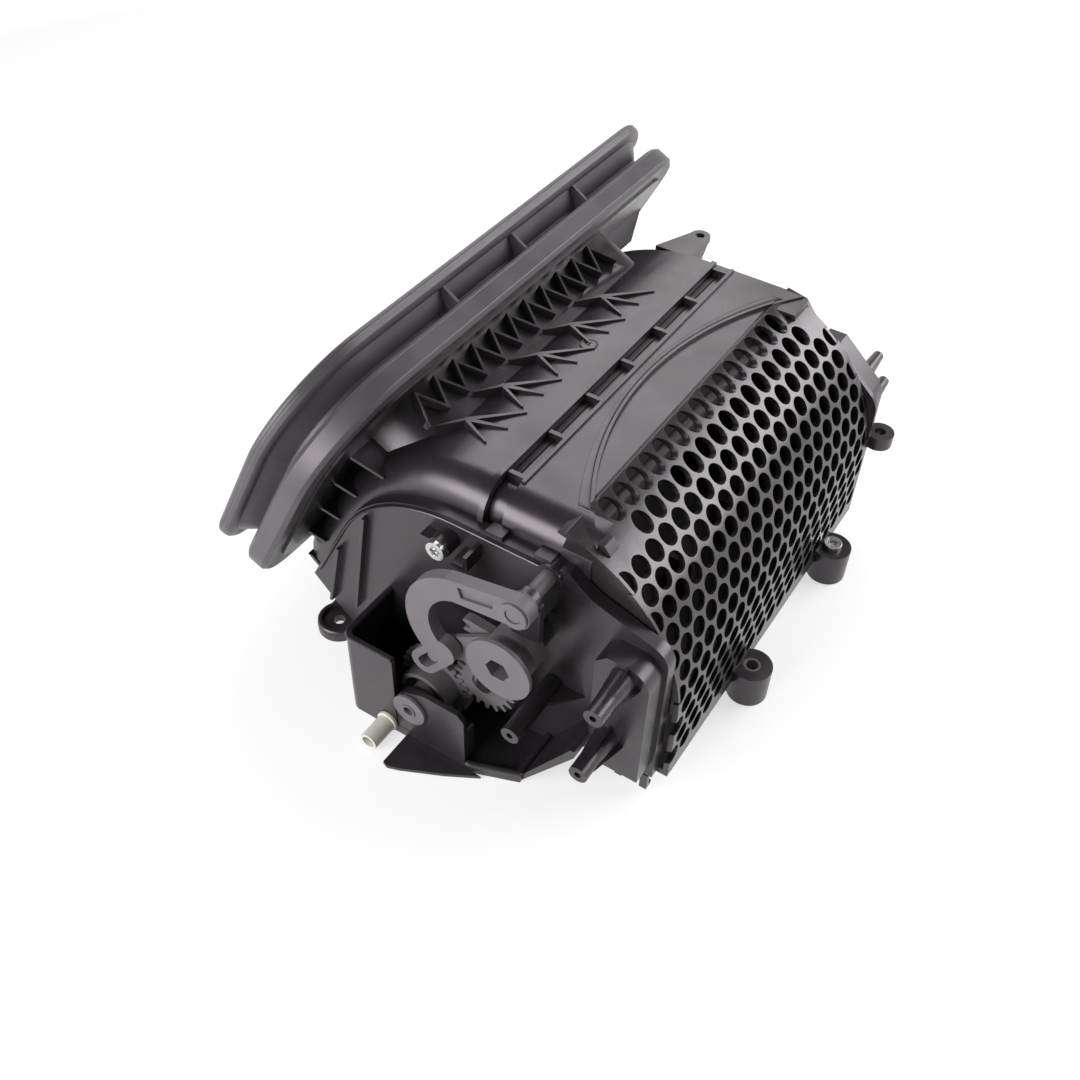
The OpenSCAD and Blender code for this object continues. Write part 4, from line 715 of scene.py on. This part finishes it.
# %% Webs at both ends
WEB_DEEP, WEB_T = 16, 1.6
WEB_BACK, WEB_INSET = 0.4, 0.8     # keep the web under the panel's face and inside its cut end
WEB_RISE, WEB_STEPS = math.radians(74), 24
bm = bmesh.new()
for x, inward in zip(PANEL_X, (1, -1)):
    x += inward * WEB_INSET
    ends = [bm.verts.new(at(x, BARREL_Y - BARREL_R + depth, BARREL_Z))
            for depth in (WEB_DEEP, WEB_BACK)]
    known = set(bm.faces)
    bmesh.ops.spin(bm, geom=ends + [bm.edges.new(ends)], cent=at(x, BARREL_Y, BARREL_Z),
                   axis=(-1, 0, 0), angle=WEB_RISE, steps=WEB_STEPS)
    web = [f for f in bm.faces if f not in known]
    grown = bmesh.ops.extrude_face_region(bm, geom=web)["geom"]
    bmesh.ops.translate(bm, verts=parts_of(grown, bmesh.types.BMVert),
                        vec=(inward * WEB_T / 1000, 0, 0))
piece("grille_ends", bm, "grille_black")

# %% [markdown]
# ## The crescent on the cover
# Between the cover's flat top and the grille lies a band like a crescent, between two arcs of
# different radius. One corner is spun along each arc, the two rows of edges are bridged, and the
# strip gets a thickness and a softened rim.

# %% Two arcs, bridged
INNER = (157, -170.7, 188.9)     # centre X and Y, radius
OUTER = (157, -194.5, 215.0)
HALF_REACH = 100
BAND_LOW, BAND_TOP = 143.4, 144.55
ARC_STEPS = 64
RIM_ANGLE, RIM_SOFT = math.radians(60), 0.0004
bm = bmesh.new()
rows = []
for x, y, r in (INNER, OUTER):
    half = math.asin(HALF_REACH / r)
    first = bm.verts.new(at(x - r * math.sin(half), y + r * math.cos(half), BAND_LOW))
    before = set(bm.edges)
    bmesh.ops.spin(bm, geom=[first], cent=at(x, y, BAND_LOW), axis=(0, 0, -1),
                   angle=2 * half, steps=ARC_STEPS)
    rows += [e for e in bm.edges if e not in before]
strip = bmesh.ops.bridge_loops(bm, edges=rows)["faces"]
lifted = bmesh.ops.extrude_face_region(bm, geom=strip)["geom"]
bmesh.ops.translate(bm, verts=parts_of(lifted, bmesh.types.BMVert),
                    vec=(0, 0, (BAND_TOP - BAND_LOW) / 1000))
bmesh.ops.remove_doubles(bm, verts=bm.verts, dist=WELD)
just_under = at(0, 0, BAND_TOP - 0.1).z
rims = [e for e in bm.edges if len(e.link_faces) == 2 and e.calc_face_angle() > RIM_ANGLE
        and all(v.co.z > just_under for v in e.verts)]
bmesh.ops.bevel(bm, geom=rims, offset=RIM_SOFT, affect="EDGES", segments=2, profile=0.5,
                material=-1)
piece("crescent_band", bm, "shell_black")

# %% [markdown]
# ## Fins on the actuator posts
# The two long posts on the box are stiffened by thin fins that narrow towards the tip. A fin could
# be a scaled cube, but four corners show its taper: they become a face, which is extruded to the
# fin's thickness.

# %% Fins round two posts
POSTS = ((-53, 96), (-48, 50))     # Y and Z
FIN_ANGLES = (100, 200, 320)       # degrees round the post, from Y towards Z
FIN_CORE, FIN_ROOT, FIN_TIP = 3.5, 9.2, 5.1     # radii: inside the post, at the box, at the tip
BOX_FACE, FIN_END = 20.3, 1                      # X of the box and of the fin's tip
FIN_HALF = 0.0007                                # half its thickness, in metres
bm = bmesh.new()
for y, z in POSTS:
    for degrees in FIN_ANGLES:
        out = Vector((0, math.cos(math.radians(degrees)), math.sin(math.radians(degrees))))
        wide = Vector((1, 0, 0)).cross(out) * FIN_HALF
        foot = at(0, y, z) - wide
        corners = [bm.verts.new(foot + Vector((x / 1000, 0, 0)) + out * r / 1000)
                   for x, r in ((BOX_FACE, FIN_CORE), (BOX_FACE, FIN_ROOT),
                                (FIN_END, FIN_TIP), (FIN_END, FIN_CORE))]
        side = bmesh.ops.contextual_create(bm, geom=corners)["faces"]
        grown = bmesh.ops.extrude_face_region(bm, geom=side)["geom"]
        bmesh.ops.translate(bm, verts=parts_of(grown, bmesh.types.BMVert), vec=2 * wide)
piece("post_fins", bm, "shell_black")
